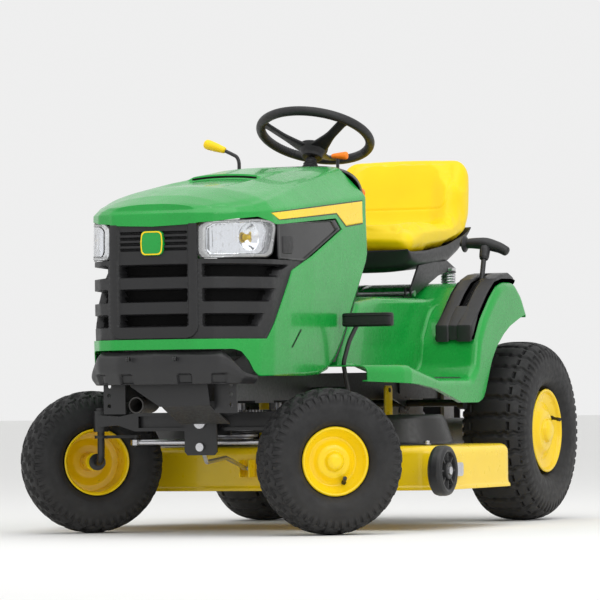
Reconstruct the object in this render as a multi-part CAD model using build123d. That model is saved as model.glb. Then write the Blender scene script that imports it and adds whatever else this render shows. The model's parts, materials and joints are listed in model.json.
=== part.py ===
"""Riding lawn mower: a lawn tractor with a front engine, a mid-mounted side-discharge deck and a sprung seat.

Vehicle frame while modelling, in millimetres: X to the driver's left, Y to the rear, Z up, with X = 0 on the
middle plane, Y = 0 on the front axle and Z = 0 on the ground. Each piece is written with the row's origin,
which is the middle of the footprint box on the ground. The front wheels are stored steered to the right.
"""

from build123d import *
from math import cos, radians, sin, sqrt, tan
import os

# ---- wheels and running gear
wheelbase = 1246.0
front_tyre_radius = 188.0
front_tyre_width = 150.0
rear_tyre_radius = 251.0
rear_tyre_width = 198.0
rear_track = 790.0
front_rim_radius = 78.0
rear_rim_radius = 104.0
rim_flange_height = 10.0
tyre_wall = 9.0
kingpin_x = 310.0
kingpin_to_wheel = 98.0
steer_at_rest = 49.0
stub_radius = 9.5
running_gap = 0.05
steering_arm = 94.0
drag_arm = 60.0
stud_radius = 6.0
rod_end_gap = 0.3
axle_pivot_z = 290.0
axle_top = 316.0
axle_bottom = 268.0
axle_half_depth = 22.0
tie_rod_z = 238.0
arm_top_z = 258.0
arm_thickness = 8.0
drag_link_z = 273.0

# ---- frame
rail_outer_x = 165.0
rail_flange = 34.0
rail_wall = 3.0
rail_bottom = 345.0
rail_top = 415.0
frame_front = -225.0
frame_rear = 1400.0
bracket_plate = 6.0
hitch_hole_radius = 9.5

# ---- steering gear
sector_teeth = 60
pinion_teeth = 12
gear_module = 3.0
sector_x = -gear_module * (sector_teeth + pinion_teeth) / 2
pinion_y = 457.0
gear_bottom = 308.0
gear_height = 12.0
pivot_radius = 8.0
column_tilt = 23.6
wheel_centre = (0.0, 727.0, 1072.0)
steering_wheel_radius = 152.0
steering_rim_radius = 13.5

# ---- body panels
panel_wall = 4.0
hood_front = -332.0
hood_rear = 508.0
hood_bottom = 455.0
skirt_bottom = 408.0
hinge_y = -337.0
hinge_z = 454.0
hinge_pin_radius = 3.5
hinge_ear_radius = 6.5
bumper_bottom = 388.0
bumper_top = 451.5
grille_bottom = 519.0
grille_top = 797.0
grille_slots = ((544, 577), (604, 639), (664, 698))
fender_x = 420.0
tunnel_x = 240.0
floor_z = 435.0
well_z = 399.0
fender_top = 668.0
deck_seat_z = 622.0

# ---- deck
deck_half_width = 540.0
deck_front = 250.0
deck_rear = 850.0
deck_top = 222.0
deck_bottom = 104.0
deck_wall = 3.0
spindle_x = 268.0
spindle_y = 545.0
blade_length = 530.0
blade_z = 113.0
spindle_pulley_radius = 70.0
engine_pulley_radius = 60.0
crank_y = 170.0
gauge_wheel_radius = 66.0
gauge_wheel_width = 41.0
gauge_wheel_y = 225.0
chute_reach = 130.0
chute_front = 420.0
chute_length = 270.0

# ---- controls and seat
lift_y = 930.0
lift_z = 332.0
lift_shaft_radius = 10.0
lift_arm = 155.0
lift_lever_x = 345.0
lift_swing = 28.0
grip_z = 778.0
seat_half_width = 222.0
dash_rear_half = 142.0
choke_x = 122.0
seat_hinge_y = 935.0
seat_hinge_z = 637.0
spring_x = 190.0
spring_y = 1225.0

left_reach = deck_half_width + 7 + gauge_wheel_width + 3
right_reach = deck_half_width + chute_reach
front_reach = hinge_ear_radius - hinge_y
rear_reach = wheelbase + rear_tyre_radius
origin_x = (left_reach - right_reach) / 2
origin_y = (rear_reach - front_reach) / 2
parts = {}


# ---------------------------------------------------------------- shape helpers
def block(x, y, z):
    """A box between pairs of limits."""
    size = [abs(pair[1] - pair[0]) for pair in (x, y, z)]
    return Pos(sum(x) / 2, sum(y) / 2, sum(z) / 2) * Box(*size)


def slab_x(points, x0, x1):
    """An outline in (y, z) drawn out from x0 to x1."""
    return extrude(Plane.YZ.offset(x0) * make_face(Polyline(*points, close=True)), amount=x1 - x0)


def slab_y(points, y0, y1):
    """An outline in (x, z) drawn out from y0 to y1."""
    plane = Plane(origin=(0, y0, 0), x_dir=(1, 0, 0), z_dir=(0, -1, 0))
    return extrude(plane * make_face(Polyline(*points, close=True)), amount=y0 - y1)


def slab_z(points, z0, z1):
    """An outline in (x, y) drawn out from z0 to z1."""
    return extrude(Plane.XY.offset(z0) * make_face(Polyline(*points, close=True)), amount=z1 - z0)


def rod(start, end, radius):
    """A round bar between two points."""
    length = (Vector(*end) - Vector(*start)).length
    plane = Plane(origin=start, z_dir=Vector(*end) - Vector(*start))
    return plane * Cylinder(radius, length, align=(Align.CENTER, Align.CENTER, Align.MIN))


def bent_rod(points, radius, bend):
    """A round bar along straight runs joined by arcs of one radius."""
    path = FilletPolyline(*points, radius=bend)
    return sweep(Plane(origin=path @ 0, z_dir=path % 0) * Circle(radius), path=path)


def band(points, thickness):
    """The closed outline of a strip of even thickness along a line of points, with mitred corners."""
    line = [Vector(*p) for p in points]
    ways = [(b - a).normalized() for a, b in zip(line, line[1:])]
    offsets = []
    for i in range(len(line)):
        before = ways[max(i - 1, 0)]
        after = ways[min(i, len(ways) - 1)]
        normal = Vector(-(before.Y + after.Y), before.X + after.X).normalized()
        reach = thickness / 2 / (normal.X * -after.Y + normal.Y * after.X)
        offsets.append(normal * reach)
    upper = [p + o for p, o in zip(line, offsets)]
    lower = [p - o for p, o in zip(line, offsets)]
    return [(p.X, p.Y) for p in upper + lower[::-1]]


def turned_x(points):
    """A solid turned about the X axis, from an outline in (x, radius)."""
    return revolve(make_face(Polyline(*points, close=True)), axis=Axis.X)


def turned_z(points):
    """A solid turned about the Z axis, from an outline in (radius, z)."""
    return revolve(Plane.XZ * make_face(Polyline(*points, close=True)), axis=Axis.Z)


def both_sides(shape):
    """A shape and its mirror image across the middle plane."""
    return shape + mirror(shape, about=Plane.YZ)


# ---------------------------------------------------------------- wheels
def tyre(radius, width, bead_radius):
    """A hollow tyre about the X axis: a rounded section, open between its beads."""
    middle = (radius + bead_radius + 4) / 2
    squareness = 2.0 / 2.9

    def section(shrink):
        half_width = width / 2 - shrink
        half_height = radius - middle - shrink
        points = []
        for step in range(25):
            turn = radians(-58 + step * 296 / 24)
            c, s = cos(turn), sin(turn)
            points.append((half_width * abs(c) ** squareness * (1 if c > 0 else -1),
                           middle + half_height * abs(s) ** squareness * (1 if s > 0 else -1)))
        return points

    return turned_x(section(0) + section(tyre_wall)[::-1])


def rim(bead_radius, width, dish, hub_length, bore_radius):
    """A pressed rim about the X axis: a flanged barrel, a dished disc and a hub tube."""
    edge = width / 2 - 14
    flange = bead_radius + rim_flange_height
    barrel = turned_x(band([(edge + 4, flange), (edge, flange - 4), (edge, bead_radius),
                            (-edge, bead_radius), (-edge, flange - 4), (-edge - 4, flange)], 3))
    disc = turned_x(band([(edge - 16, bead_radius + 0.5), (edge - 24, bead_radius * 0.72),
                          (edge - 24 - dish, bead_radius * 0.45), (edge - 24 - dish, 24)], 4))
    outer = edge - 24 - dish + 18
    hub = turned_x([(outer, bore_radius), (outer, 26), (outer - hub_length, 26), (outer - hub_length, bore_radius)])
    return barrel + disc + hub


def make_wheels():
    """Four tyres and rims. Front ones sit on the steered stubs, rear ones on the transaxle's shafts."""
    for side, name in ((1, "left"), (-1, "right")):
        turn = Pos(side * kingpin_x, 0, front_tyre_radius) * Rot(0, 0, -steer_at_rest)
        place = turn * Pos(side * kingpin_to_wheel, 0, 0)
        if side < 0:
            place = place * Rot(0, 0, 180)
        parts[f"front_tyre_{name}"] = place * tyre(front_tyre_radius, front_tyre_width, front_rim_radius)
        parts[f"front_rim_{name}"] = place * rim(front_rim_radius, front_tyre_width, 8, 84, stub_radius + running_gap)
        place = Pos(side * rear_track / 2, wheelbase, rear_tyre_radius)
        if side < 0:
            place = place * Rot(0, 0, 180)
        parts[f"rear_tyre_{name}"] = place * tyre(rear_tyre_radius, rear_tyre_width, rear_rim_radius)
        shaft = rod((-(rear_track / 2 - 236), 0, 0), (56, 0, 0), stub_radius)
        hub = rim(rear_rim_radius, rear_tyre_width, -6, 70, stub_radius)
        parts[f"rear_rim_{name}"] = place * (hub + shaft)


# ---------------------------------------------------------------- front axle and steering
def make_axle():
    """A cast beam with a boss at each end, hung on a pivot bolt so that it can rock."""
    boss_radius = 20
    outline = [(-kingpin_x, 280), (-250, 284), (-200, axle_bottom), (200, axle_bottom), (250, 284),
               (kingpin_x, 280), (kingpin_x, 312), (250, 306), (200, axle_top), (-200, axle_top),
               (-250, 306), (-kingpin_x, 312)]
    beam = slab_y(outline, -axle_half_depth, axle_half_depth)
    for side in (-1, 1):
        pocket = block((side * 45, side * 190), (8, 40), (axle_bottom + 9, axle_top - 9))
        beam -= pocket + mirror(pocket, about=Plane.XZ)
        beam += Pos(side * kingpin_x, 0, 295) * Cylinder(boss_radius, 54)
    for side in (-1, 1):
        beam -= Pos(side * kingpin_x, 0, 295) * Cylinder(stub_radius + running_gap, 80)
    beam -= rod((0, -40, axle_pivot_z), (0, 40, axle_pivot_z), 10 + running_gap)
    parts["front_axle_beam"] = beam


def knuckle(side):
    """A kingpin bent into a stub axle, with a steering arm to the rear and a stud for the tie rod."""
    top = 330
    bar = bent_rod([(0, 0, top), (0, 0, front_tyre_radius), (side * (kingpin_to_wheel + 48), 0, front_tyre_radius)],
                   stub_radius, 24)
    bar += Pos(0, 0, 326) * Cylinder(14, 7)
    bar += rod((side * 38, 0, front_tyre_radius), (side * 43, 0, front_tyre_radius), 22)
    arm_z = arm_top_z - arm_thickness / 2
    arm = Pos(0, 0, arm_z) * Cylinder(17, arm_thickness) + Pos(0, steering_arm, arm_z) * Cylinder(13, arm_thickness)
    arm += block((-12, 12), (0, steering_arm), (arm_top_z - arm_thickness, arm_top_z))
    arm += rod((0, steering_arm, tie_rod_z - 12), (0, steering_arm, arm_z), stud_radius)
    if side > 0:
        arm += rod((0, drag_arm, arm_z), (0, drag_arm, drag_link_z + 12), stud_radius)
    return Pos(side * kingpin_x, 0, 0) * Rot(0, 0, -steer_at_rest) * (bar + arm)


def rod_eye(x, y, z, hole):
    """The eye of a rod end."""
    return Pos(x, y, z) * (Cylinder(13, 14) - Cylinder(hole, 20))


def arm_end(side, length):
    """Where a point on a steering arm stands at rest."""
    turn = radians(steer_at_rest)
    return side * kingpin_x + length * sin(turn), length * cos(turn)


def make_linkage():
    """Two knuckles, the tie rod across them and the drag link back to the sector's arm."""
    parts["left_knuckle"] = knuckle(1)
    parts["right_knuckle"] = knuckle(-1)
    hole = stud_radius + rod_end_gap
    (rx, ry), (lx, ly) = arm_end(-1, steering_arm), arm_end(1, steering_arm)
    tie = rod_eye(rx, ry, tie_rod_z, hole) + rod_eye(lx, ly, tie_rod_z, hole)
    parts["tie_rod"] = tie + rod((rx + 12, ry, tie_rod_z), (lx - 12, ly, tie_rod_z), 7.5)
    x, y = arm_end(1, drag_arm)
    turn = radians(steer_at_rest)
    far = (sector_x + drag_arm * sin(turn), pinion_y + drag_arm * cos(turn))
    far_z = gear_bottom - 24
    link = rod_eye(x, y, drag_link_z, hole)
    link += Pos(far[0], far[1], far_z) * (Cylinder(18, 12) - Cylinder(stud_radius + 5, 20))
    reach = Vector(far[0] - x, far[1] - y, far_z - drag_link_z)
    way = reach.normalized()
    begin = Vector(x, y, drag_link_z) + way * 12
    end = Vector(far[0], far[1], far_z) - way * 15.5
    parts["drag_link"] = link + rod(tuple(begin), tuple(end), 6.5)


def toothed_edge(teeth, first, last):
    """Points of slim trapezoid teeth about a centre, for the teeth numbered first to last."""
    pitch_radius = gear_module * teeth / 2
    tip, root = pitch_radius + 0.8 * gear_module, pitch_radius - 1.2 * gear_module
    step = 360 / teeth
    points = []
    for number in range(first, last + 1):
        middle = number * step
        for share, radius in ((-0.27, root), (-0.1, tip), (0.1, tip), (0.27, root)):
            angle = radians(middle + share * step)
            points.append((radius * cos(angle), radius * sin(angle)))
    return points


def make_steering_gear():
    """A vertical pinion under the column's joint, and the toothed sector that it turns."""
    z0, z1 = gear_bottom, gear_bottom + gear_height
    swing = 2 * steer_at_rest
    first = -round((swing + 6) / 6)
    outline = toothed_edge(sector_teeth, first, 1) + [(24, 20), (-22, 14), (-22, -18), (-8, -24)]
    sector = Pos(sector_x, pinion_y, 0) * slab_z(outline, z0, z1)
    turn = radians(steer_at_rest)
    stud = (sector_x + drag_arm * sin(turn), pinion_y + drag_arm * cos(turn))
    arm = Pos(sector_x, pinion_y, 0) * Rot(0, 0, 90 - steer_at_rest) * block((0, drag_arm), (-13, 13), (z0, z1))
    arm += Pos(stud[0], stud[1], (z0 + z1) / 2) * Cylinder(13, gear_height)
    arm += rod((stud[0], stud[1], z0 - 34), (stud[0], stud[1], z0), stud_radius)
    sector += arm + Pos(sector_x, pinion_y, (z0 + z1) / 2) * Cylinder(22, gear_height)
    sector += rod((sector_x, pinion_y, z0), (sector_x, pinion_y, 352), pivot_radius)
    parts["sector_gear"] = sector
    half_tooth = 360 / pinion_teeth / 2
    gear = slab_z(toothed_edge(pinion_teeth, 0, pinion_teeth - 1), z0 - 2, z1 + 2)
    pinion = Pos(0, pinion_y, 0) * Rot(0, 0, 180 + half_tooth) * gear
    pinion += rod((0, pinion_y, z0), (0, pinion_y, 428), pivot_radius)
    pinion += Pos(0, pinion_y, 430) * Cylinder(15, 22)
    parts["steering_pinion"] = pinion


def column_point(distance):
    """A point on the steering column's axis, a distance below the wheel's centre."""
    tilt = radians(column_tilt)
    return (0.0, wheel_centre[1] - distance * sin(tilt), wheel_centre[2] - distance * cos(tilt))


def make_steering_wheel():
    """A three-spoke wheel on a tilted column."""
    plane = Plane(origin=wheel_centre, x_dir=(1, 0, 0), z_dir=Vector(*wheel_centre) - Vector(*column_point(100)))
    wheel = Torus(steering_wheel_radius, steering_rim_radius)
    for angle in (90, 215, 325):
        spoke = slab_y([(0, -52), (34, -52), (steering_wheel_radius + 4, -5), (steering_wheel_radius + 4, 6),
                        (96, -18), (34, -22), (0, -22)], -17, 17)
        wheel += Rot(0, 0, angle) * spoke
    wheel += turned_z([(0, -68), (30, -68), (40, -40), (38, -22), (20, -15), (0, -15)])
    parts["steering_wheel"] = plane * wheel
    shaft = rod(column_point(640), column_point(69), 9.5) + rod(column_point(680), column_point(640), 14)
    parts["steering_shaft"] = shaft


# ---------------------------------------------------------------- frame
def make_frame():
    """Two channel rails, the brackets across and under them, and the rear hitch plate."""
    x0, x1 = rail_outer_x - rail_flange, rail_outer_x
    section = [(x1, rail_bottom), (x1, rail_top), (x0, rail_top), (x0, rail_top - rail_wall),
               (x1 - rail_wall, rail_top - rail_wall), (x1 - rail_wall, rail_bottom + rail_wall),
               (x0, rail_bottom + rail_wall), (x0, rail_bottom)]
    rail = slab_y(section, frame_front, frame_rear)
    parts["left_frame_rail"] = rail
    parts["right_frame_rail"] = mirror(rail, about=Plane.YZ)

    under = rail_bottom - bracket_plate
    hanger = block((-162, 162), (-60, 60), (under, rail_bottom))
    front_plate = [(-46, under), (46, under), (46, 214), (38, 205), (-38, 205), (-46, 214)]
    hanger += slab_y(front_plate, -46, -40)
    hanger += slab_y([(-46, under), (46, under), (46, 256), (-46, 256)], 40, 46)
    hanger -= rod((0, -60, axle_pivot_z), (0, 60, axle_pivot_z), 10 + running_gap)
    hanger -= rod((0, -60, 226), (0, -30, 226), 7)
    steering_plate = block((-162, 162), (395, 525), (under, rail_bottom))
    for x in (0, sector_x):
        steering_plate -= Pos(x, pinion_y, rail_bottom) * Cylinder(pivot_radius + running_gap, 40)
    shelf = block((-162, 162), (930, 1010), (rail_top, rail_top + 4))
    brackets = hanger + steering_plate + shelf
    ears = block((rail_outer_x, rail_outer_x + 4), (lift_y - 26, lift_y + 26), (lift_z - 26, 400))
    ears -= rod((0, lift_y, lift_z), (400, lift_y, lift_z), lift_shaft_radius + running_gap)
    front_ears = slab_y([(126, 314), (188, 314), (188, 398), (126, 398)], frame_front - 6, frame_front)
    for z in (335, 362, 386):
        front_ears -= rod((172, frame_front - 20, z), (172, frame_front + 20, z), 5.5)
    brackets += both_sides(ears + front_ears)
    baffle = slab_y([(-98, 398), (118, 398), (126, 336), (-15, 332), (-66, 364), (-98, 385)], -259, -256)
    baffle += slab_x(band([(-257.5, 337), (-225, 322), (-135, 288)], 3), -14, 125)
    brackets += baffle + block((-40, 40), (-256, frame_front), (392, 396))
    parts["frame_brackets"] = brackets

    hitch = block((-150, 150), (frame_rear, frame_rear + 6), (236, 410))
    hitch += block((-70, 70), (frame_rear, frame_rear + 62), (236, 242))
    hitch -= Pos(0, frame_rear + 40, 239) * Cylinder(hitch_hole_radius, 20)
    parts["hitch_plate"] = hitch





def make_fasteners():
    """The axle's pivot bolt, the draft link's bolt head and the seat bracket's bolts."""
    bolt = rod((0, -52, axle_pivot_z), (0, 52, axle_pivot_z), 10)
    bolt += rod((0, -54, axle_pivot_z), (0, -46, axle_pivot_z), 16)
    bolt += rod((0, 46, axle_pivot_z), (0, 54, axle_pivot_z), 16)
    draft = rod((0, -54, 226), (0, -46, 226), 11) + rod((0, -50, 226), (0, -40, 226), 6.9)
    heads = Compound(children=[bolt, draft])
    parts["fasteners"] = heads


# ---------------------------------------------------------------- engine and drive
def make_engine():
    """An upright single: crankcase and cylinder, fan housing, muffler with its outlet, and the crank pulleys."""
    case = block((-125, 125), (30, 310), (rail_top, 560)) + block((-70, 70), (-45, 32), (450, 558))
    for level in range(5):
        case += block((-82, 82), (-40, 28), (456 + level * 23, 462 + level * 23))
    case -= Pos(0, crank_y, rail_top) * Cylinder(12.5 + running_gap, 120)
    case -= block((-105, 105), (50, 290), (470, 545))
    parts["engine_block"] = case
    shroud = Pos(0, crank_y, 630) * Cylinder(150, 140) - Pos(0, crank_y, 618) * Cylinder(144, 120)
    shroud += block((-95, 95), (-60, 60), (575, 690)) - Pos(0, crank_y, 600) * Cylinder(147, 180)
    shroud += block((-60, 150), (200, 330), (700, 770))
    parts["engine_shroud"] = shroud
    muffler = block((-150, 70), (-185, -65), (422, 555))
    muffler = fillet(muffler.edges().filter_by(Axis.X), 40)
    pipe = bent_rod([(-100, -112, 436), (-100, -112, 337), (-100, -222, 337)], 21, 30)
    pipe -= bent_rod([(-100, -112, 400), (-100, -112, 337), (-100, -224, 337)], 18, 30)
    parts["exhaust"] = muffler + pipe
    groove = engine_pulley_radius - 12
    stack = [(0, 232), (engine_pulley_radius, 232), (engine_pulley_radius, 237), (groove, 241), (groove, 247),
             (engine_pulley_radius, 251), (engine_pulley_radius, 256), (groove, 260), (groove, 268),
             (engine_pulley_radius, 272), (engine_pulley_radius, 276), (14, 276), (14, 300), (12.5, 300),
             (12.5, 450), (0, 450)]
    parts["engine_pulley"] = Pos(0, crank_y, 0) * turned_z(stack)


def make_drive():
    """The rear transaxle with its input pulley, and the belt that turns it."""
    axle_z = rear_tyre_radius
    case = rod((-232, wheelbase, axle_z), (232, wheelbase, axle_z), 38)
    case += rod((-90, wheelbase, axle_z), (90, wheelbase, axle_z), 62)
    case += block((-95, 95), (1070, 1220), (290, 345))
    case += block((-118, 118), (1090, 1200), (290, 400))
    case += block((-60, 60), (1180, 1260), (248, 330))
    for side in (-1, 1):
        case += block((side * 166, side * 176), (1215, 1290), (240, 380))
    groove = 43
    pulley_y = 1115
    stack = [(0, 254), (55, 254), (55, 256), (groove, 260), (groove, 268), (55, 272), (55, 274), (12, 274),
             (12, 292), (0, 292)]
    case += Pos(0, pulley_y, 0) * turned_z(stack)
    case -= rod((-240, wheelbase, axle_z), (240, wheelbase, axle_z), stub_radius + running_gap)
    parts["transaxle"] = case
    inner = engine_pulley_radius - 12 + 0.5
    rear_inner = groove + 0.5
    belt_depth = 9.0
    loop = slab_z(belt_loop(inner + belt_depth, rear_inner + belt_depth, pulley_y), 260.6, 265.8)
    parts["drive_belt"] = loop - slab_z(belt_loop(inner, rear_inner, pulley_y), 255, 272)


def belt_loop(front_radius, back_radius, back_y):
    """The outline of an open belt round the engine pulley and a rear pulley, as fine arcs."""
    lean = (front_radius - back_radius) / (back_y - crank_y)
    points = []
    for step in range(33):
        angle = radians(180 + step * 180 / 32)
        points.append((front_radius * cos(angle), crank_y + front_radius * (sin(angle) + lean)))
    for step in range(33):
        angle = radians(step * 180 / 32)
        points.append((back_radius * cos(angle), back_y + back_radius * (sin(angle) + lean)))
    return points


def make_supplies():
    """The fuel tank and the battery, side by side under the seat deck."""
    tank = fillet(block((-215, 10), (1010, 1200), (440, 600)).edges().filter_by(Axis.Z), 24)
    parts["fuel_tank"] = tank + Pos(-100, 1100, 606) * Cylinder(28, 18)
    parts["battery"] = block((50, 180), (1015, 1195), (428, 590)) + block((70, 84), (1040, 1054), (590, 604)) \
        + block((146, 160), (1040, 1054), (590, 604))


# ---------------------------------------------------------------- hood and front
hood_plan = [(0, hood_front), (124, -327), (165, -303), (206, -252), (238, -186), (254, -130), (258, -40),
             (256, 120), (250, 320), (244, hood_rear)]
hood_side = [(hood_front, hood_bottom), (-207, hood_bottom), (-200, skirt_bottom), (46, skirt_bottom), (150, 418),
             (222, 446), (262, 500), (300, 560), (360, 618), (440, 672), (496, 708), (hood_rear, 740),
             (hood_rear, 978), (440, 972), (314, 948), (130, 916), (-35, 884), (-200, 852), (-300, 833),
             (hood_front, 822)]


def hood_solid(inset):
    """The hood's outer form, or the same drawn in by an inset and left open below and behind."""
    half = [(x - inset if x > 0 else 0, y + (inset if y < -130 else 0)) for x, y in hood_plan]
    if inset:
        half[-1] = (half[-1][0], hood_rear + 60)
    plan = half + [(-x, y) for x, y in half[:0:-1]]
    body = slab_z(plan, 380, 1000)
    if inset:
        side = [(hood_front + inset, 300), (hood_rear + 50, 300), (hood_rear + 50, 978 - inset)]
        side += [(y, z - inset) for y, z in hood_side[13:-1]] + [(hood_front + inset, 822 - inset)]
    else:
        side = hood_side
    body = body & slab_x(side, -300, 300)
    for sign in (-1, 1):
        lower_front = Vector(sign * 254, -130, 823 - inset)
        lower_rear = Vector(sign * 244, hood_rear, 886 - inset)
        upper_rear = Vector(sign * 168, hood_rear, 978 - inset)
        normal = (lower_rear - lower_front).cross(upper_rear - lower_front)
        normal = normal if normal.Z > 0 else -normal
        cut = Plane(origin=lower_front, z_dir=normal)
        body = split(body, bisect_by=cut, keep=Keep.BOTTOM)
    return body


def grille_region(gap):
    """The part of the hood's front that the grille fills, on both sides."""
    edge = [(-400, grille_bottom + gap), (-178 - gap, grille_bottom + gap), (-65 - gap, 690),
            (-65 - gap, 706 - gap), (-400, 706 - gap)]
    upper = [(-400, 700), (-290 - gap, 700), (-290 - gap, grille_top - gap), (-400, grille_top - gap)]
    centre = slab_x(upper, -128 + gap, 128 - gap)
    return slab_x(edge, -300, 300) + centre


def headlight_region(gap):
    """The two boxes that the headlights fill, wrapping round the hood's front corners."""
    box = slab_x([(-400, 706 + gap), (-112 - gap, 712 + gap), (-124 - gap, 810.5 - gap),
                  (-400, grille_top - 1.5 - gap)], 128 + gap, 300)
    return both_sides(box)


def side_region(gap):
    """The black vent panels behind the headlights."""
    outline = [(-112 + gap, 716 + gap), (95, 734 + gap), (314 - gap, 806), (284 - gap, 832 - gap),
               (-124 + gap, 812 - gap)]
    return both_sides(slab_x(outline, 200, 300))


def make_hood():
    """The green shell with its black grille, clear headlights and black vent panels."""
    outer = hood_solid(0)
    inner = hood_solid(panel_wall)
    opening = [(-400, grille_bottom), (-176, grille_bottom), (-62, 692), (95, 734), (314, 806), (284, 832),
               (-124, 812), (-400, grille_top)]
    shell = outer - inner - slab_x(opening, -300, 300)
    lug = block((72, 84), (hinge_y, -327), (hinge_z - 1.2, hinge_z + 5))
    pin = rod((61, hinge_y, hinge_z), (84, hinge_y, hinge_z), hinge_pin_radius)
    parts["hood_shell"] = shell + both_sides(lug + pin)
    bars = (hood_solid(2) - hood_solid(22)) & grille_region(0.6)
    bars -= both_sides(block((128, 300), (-400, 0), (704, 830)))
    slots = None
    for z0, z1 in grille_slots:
        for x0, x1 in ((-100, 100), (130, 216), (-216, -130)):
            cut = block((x0, x1), (-400, -190), (z0, z1))
            slots = cut if slots is None else slots + cut
    bars -= slots
    parts["grille"] = bars
    parts["headlights"] = (hood_solid(1) - hood_solid(46)) & headlight_region(0.6)
    parts["side_panels"] = (hood_solid(1) - hood_solid(4)) & side_region(0.6)


def make_bumper():
    """The black valance under the hood, bowed like the hood's front."""
    bow = [(226, -207), (216, -246), (172, -293), (104, -322), (0, hood_front)]
    outer = bow + [(-x, y) for x, y in bow[-2::-1]]
    inner_bow = [(214, -207), (205, -241), (165, -283), (100, -311), (0, hood_front + 11)]
    inner = inner_bow + [(-x, y) for x, y in inner_bow[-2::-1]]
    shell = slab_z(outer, bumper_bottom, bumper_top) - slab_z(inner, bumper_bottom - 1, bumper_top - 8)
    shell -= block((-260, 260), (-262, -180), (bumper_top - 60, bumper_top - 9))
    ear = block((62, 66), (-342, -320), (441, 449.5))
    ear += rod((62, hinge_y, hinge_z), (66, hinge_y, hinge_z), hinge_ear_radius)
    ear -= rod((60, hinge_y, hinge_z), (68, hinge_y, hinge_z), hinge_pin_radius + running_gap)
    parts["front_bumper"] = shell + both_sides(ear)


# ---------------------------------------------------------------- dash, fenders and console
def make_dash():
    """The dash that carries on the hood's lines, and the tower that holds it up."""
    side = [(hood_rear + 4, 880), (hood_rear + 4, 979), (620, 985), (700, 952), (735, 905), (735, 880)]
    dash = slab_x(side, -226, 226)
    for sign in (-1, 1):
        cut = slab_y([(sign * 168, 990), (sign * 240, 990), (sign * 240, 880), (sign * 226, 895)], 500, 760)
        dash -= cut
        dash -= slab_z([(sign * 227, hood_rear + 4), (sign * 300, hood_rear + 4), (sign * 300, 740),
                        (sign * dash_rear_half, 740)], 870, 1000)
    inner = slab_x([(hood_rear, 870), (hood_rear, 972), (618, 978), (695, 946), (729, 900), (729, 870)], -118, 118)
    dash -= inner
    tilt = Plane(origin=column_point(200), z_dir=Vector(*wheel_centre) - Vector(*column_point(100)))
    dash -= tilt * Cylinder(16, 400)
    dash -= block((-182, -158), (545, 640), (800, 1000)) + block((108, 128), (550, 660), (800, 1000))
    dash -= rod((choke_x, 640, 940), (choke_x, 740, 915), 4 + running_gap)
    parts["dashboard"] = dash
    tower = slab_x([(hood_rear + 4, 626), (690, 626), (700, 700), (732, 879), (hood_rear + 4, 879)], -150, 150)
    tower -= slab_x([(hood_rear, 600), (684, 600), (694, 700), (726, 890), (hood_rear, 890)], -145, 145)
    edge = [(262, 440), (300, 500), (345, 556), (405, 606), (480, 654), (556, 700), (556, 879), (500, 879),
            (500, 724), (450, 690), (380, 650), (310, 590), (262, 530), (218, 462), (200, 440)]
    cheeks = both_sides(slab_x(edge, 228, 236)) + slab_x([(512, 728), (556, 728), (556, 736), (512, 736)], -230, 230)
    wall = block((150, 236), (548, 556), (700, 879))
    parts["dash_tower"] = tower + cheeks + both_sides(wall)


well_profile = [(238, floor_z), (383, floor_z), (592, well_z), (819, well_z),
                (856, 430), (873, 502), (918, 562), (990, 622), (1040, 655), (1090, fender_top - 1),
                (1160, fender_top), (1210, 634), (1249, 583)]
arch = [(1249, 583), (1180, 566), (1110, 545), (1060, 522), (1005, 487), (968, 450), (940, 405), (915, 362),
        (894, 342), (860, 333), (741, 333), (657, 351), (560, 371), (427, 384), (236, 384)]


def make_fender():
    """One moulded body: the seat deck, the tunnel between the foot wells, the wells and the wheel arches."""
    deck_line = [(400, 560), (450, 605), (600, deck_seat_z), (985, deck_seat_z), (1100, 650), (1330, 650),
                 (1362, 630), (1370, 560)]
    body = slab_x(band(deck_line, panel_wall), -tunnel_x, tunnel_x)
    wall = [(300, 420), (330, 500)] + deck_line + [(1200, 556), (900, 400), (640, 398), (380, 420)]
    side = slab_x(wall, tunnel_x - panel_wall, tunnel_x)
    well = slab_x(band(well_profile, panel_wall), tunnel_x, fender_x)
    skirt = slab_x(well_profile + arch[1:], fender_x - panel_wall, fender_x)
    half = side + well + skirt
    corner = slab_z([(fender_x + 2, 200), (fender_x + 2, 372), (340, 226), (300, 200)], 300, 600)
    half -= corner
    front_skirt = slab_z(band([(fender_x - 2, 371), (341, 228), (tunnel_x, 224)], panel_wall), 384, floor_z)
    half += front_skirt
    body += both_sides(half)
    body -= block((-40, 40), (470, 580), (560, 640))
    body -= block((lift_lever_x - 12, lift_lever_x + 12), (872, 1135), (480, 700))
    body -= block((258, 284), (232, 312), (400, 460))
    body -= block((-298, -274), (286, 342), (400, 460)) + block((-342, -312), (346, 398), (400, 460))
    parts["fender_body"] = body


def make_console():
    """The black housing of the lift lever, with a long slot along its back."""
    x0, x1 = 292, 404
    outline = [(862, 498), (860, 545), (996, 646), (1100, 692), (1150, 696), (1185, 684), (1200, 664),
               (1163, fender_top + 3), (1088, fender_top + 2), (1036, 659), (985, 626), (913, 566), (868, 505)]
    slot = block((lift_lever_x - 12, lift_lever_x + 12), (850, 1132), (480, 720))
    parts["lift_console"] = slab_x(outline, x0, x1) - slot


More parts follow.
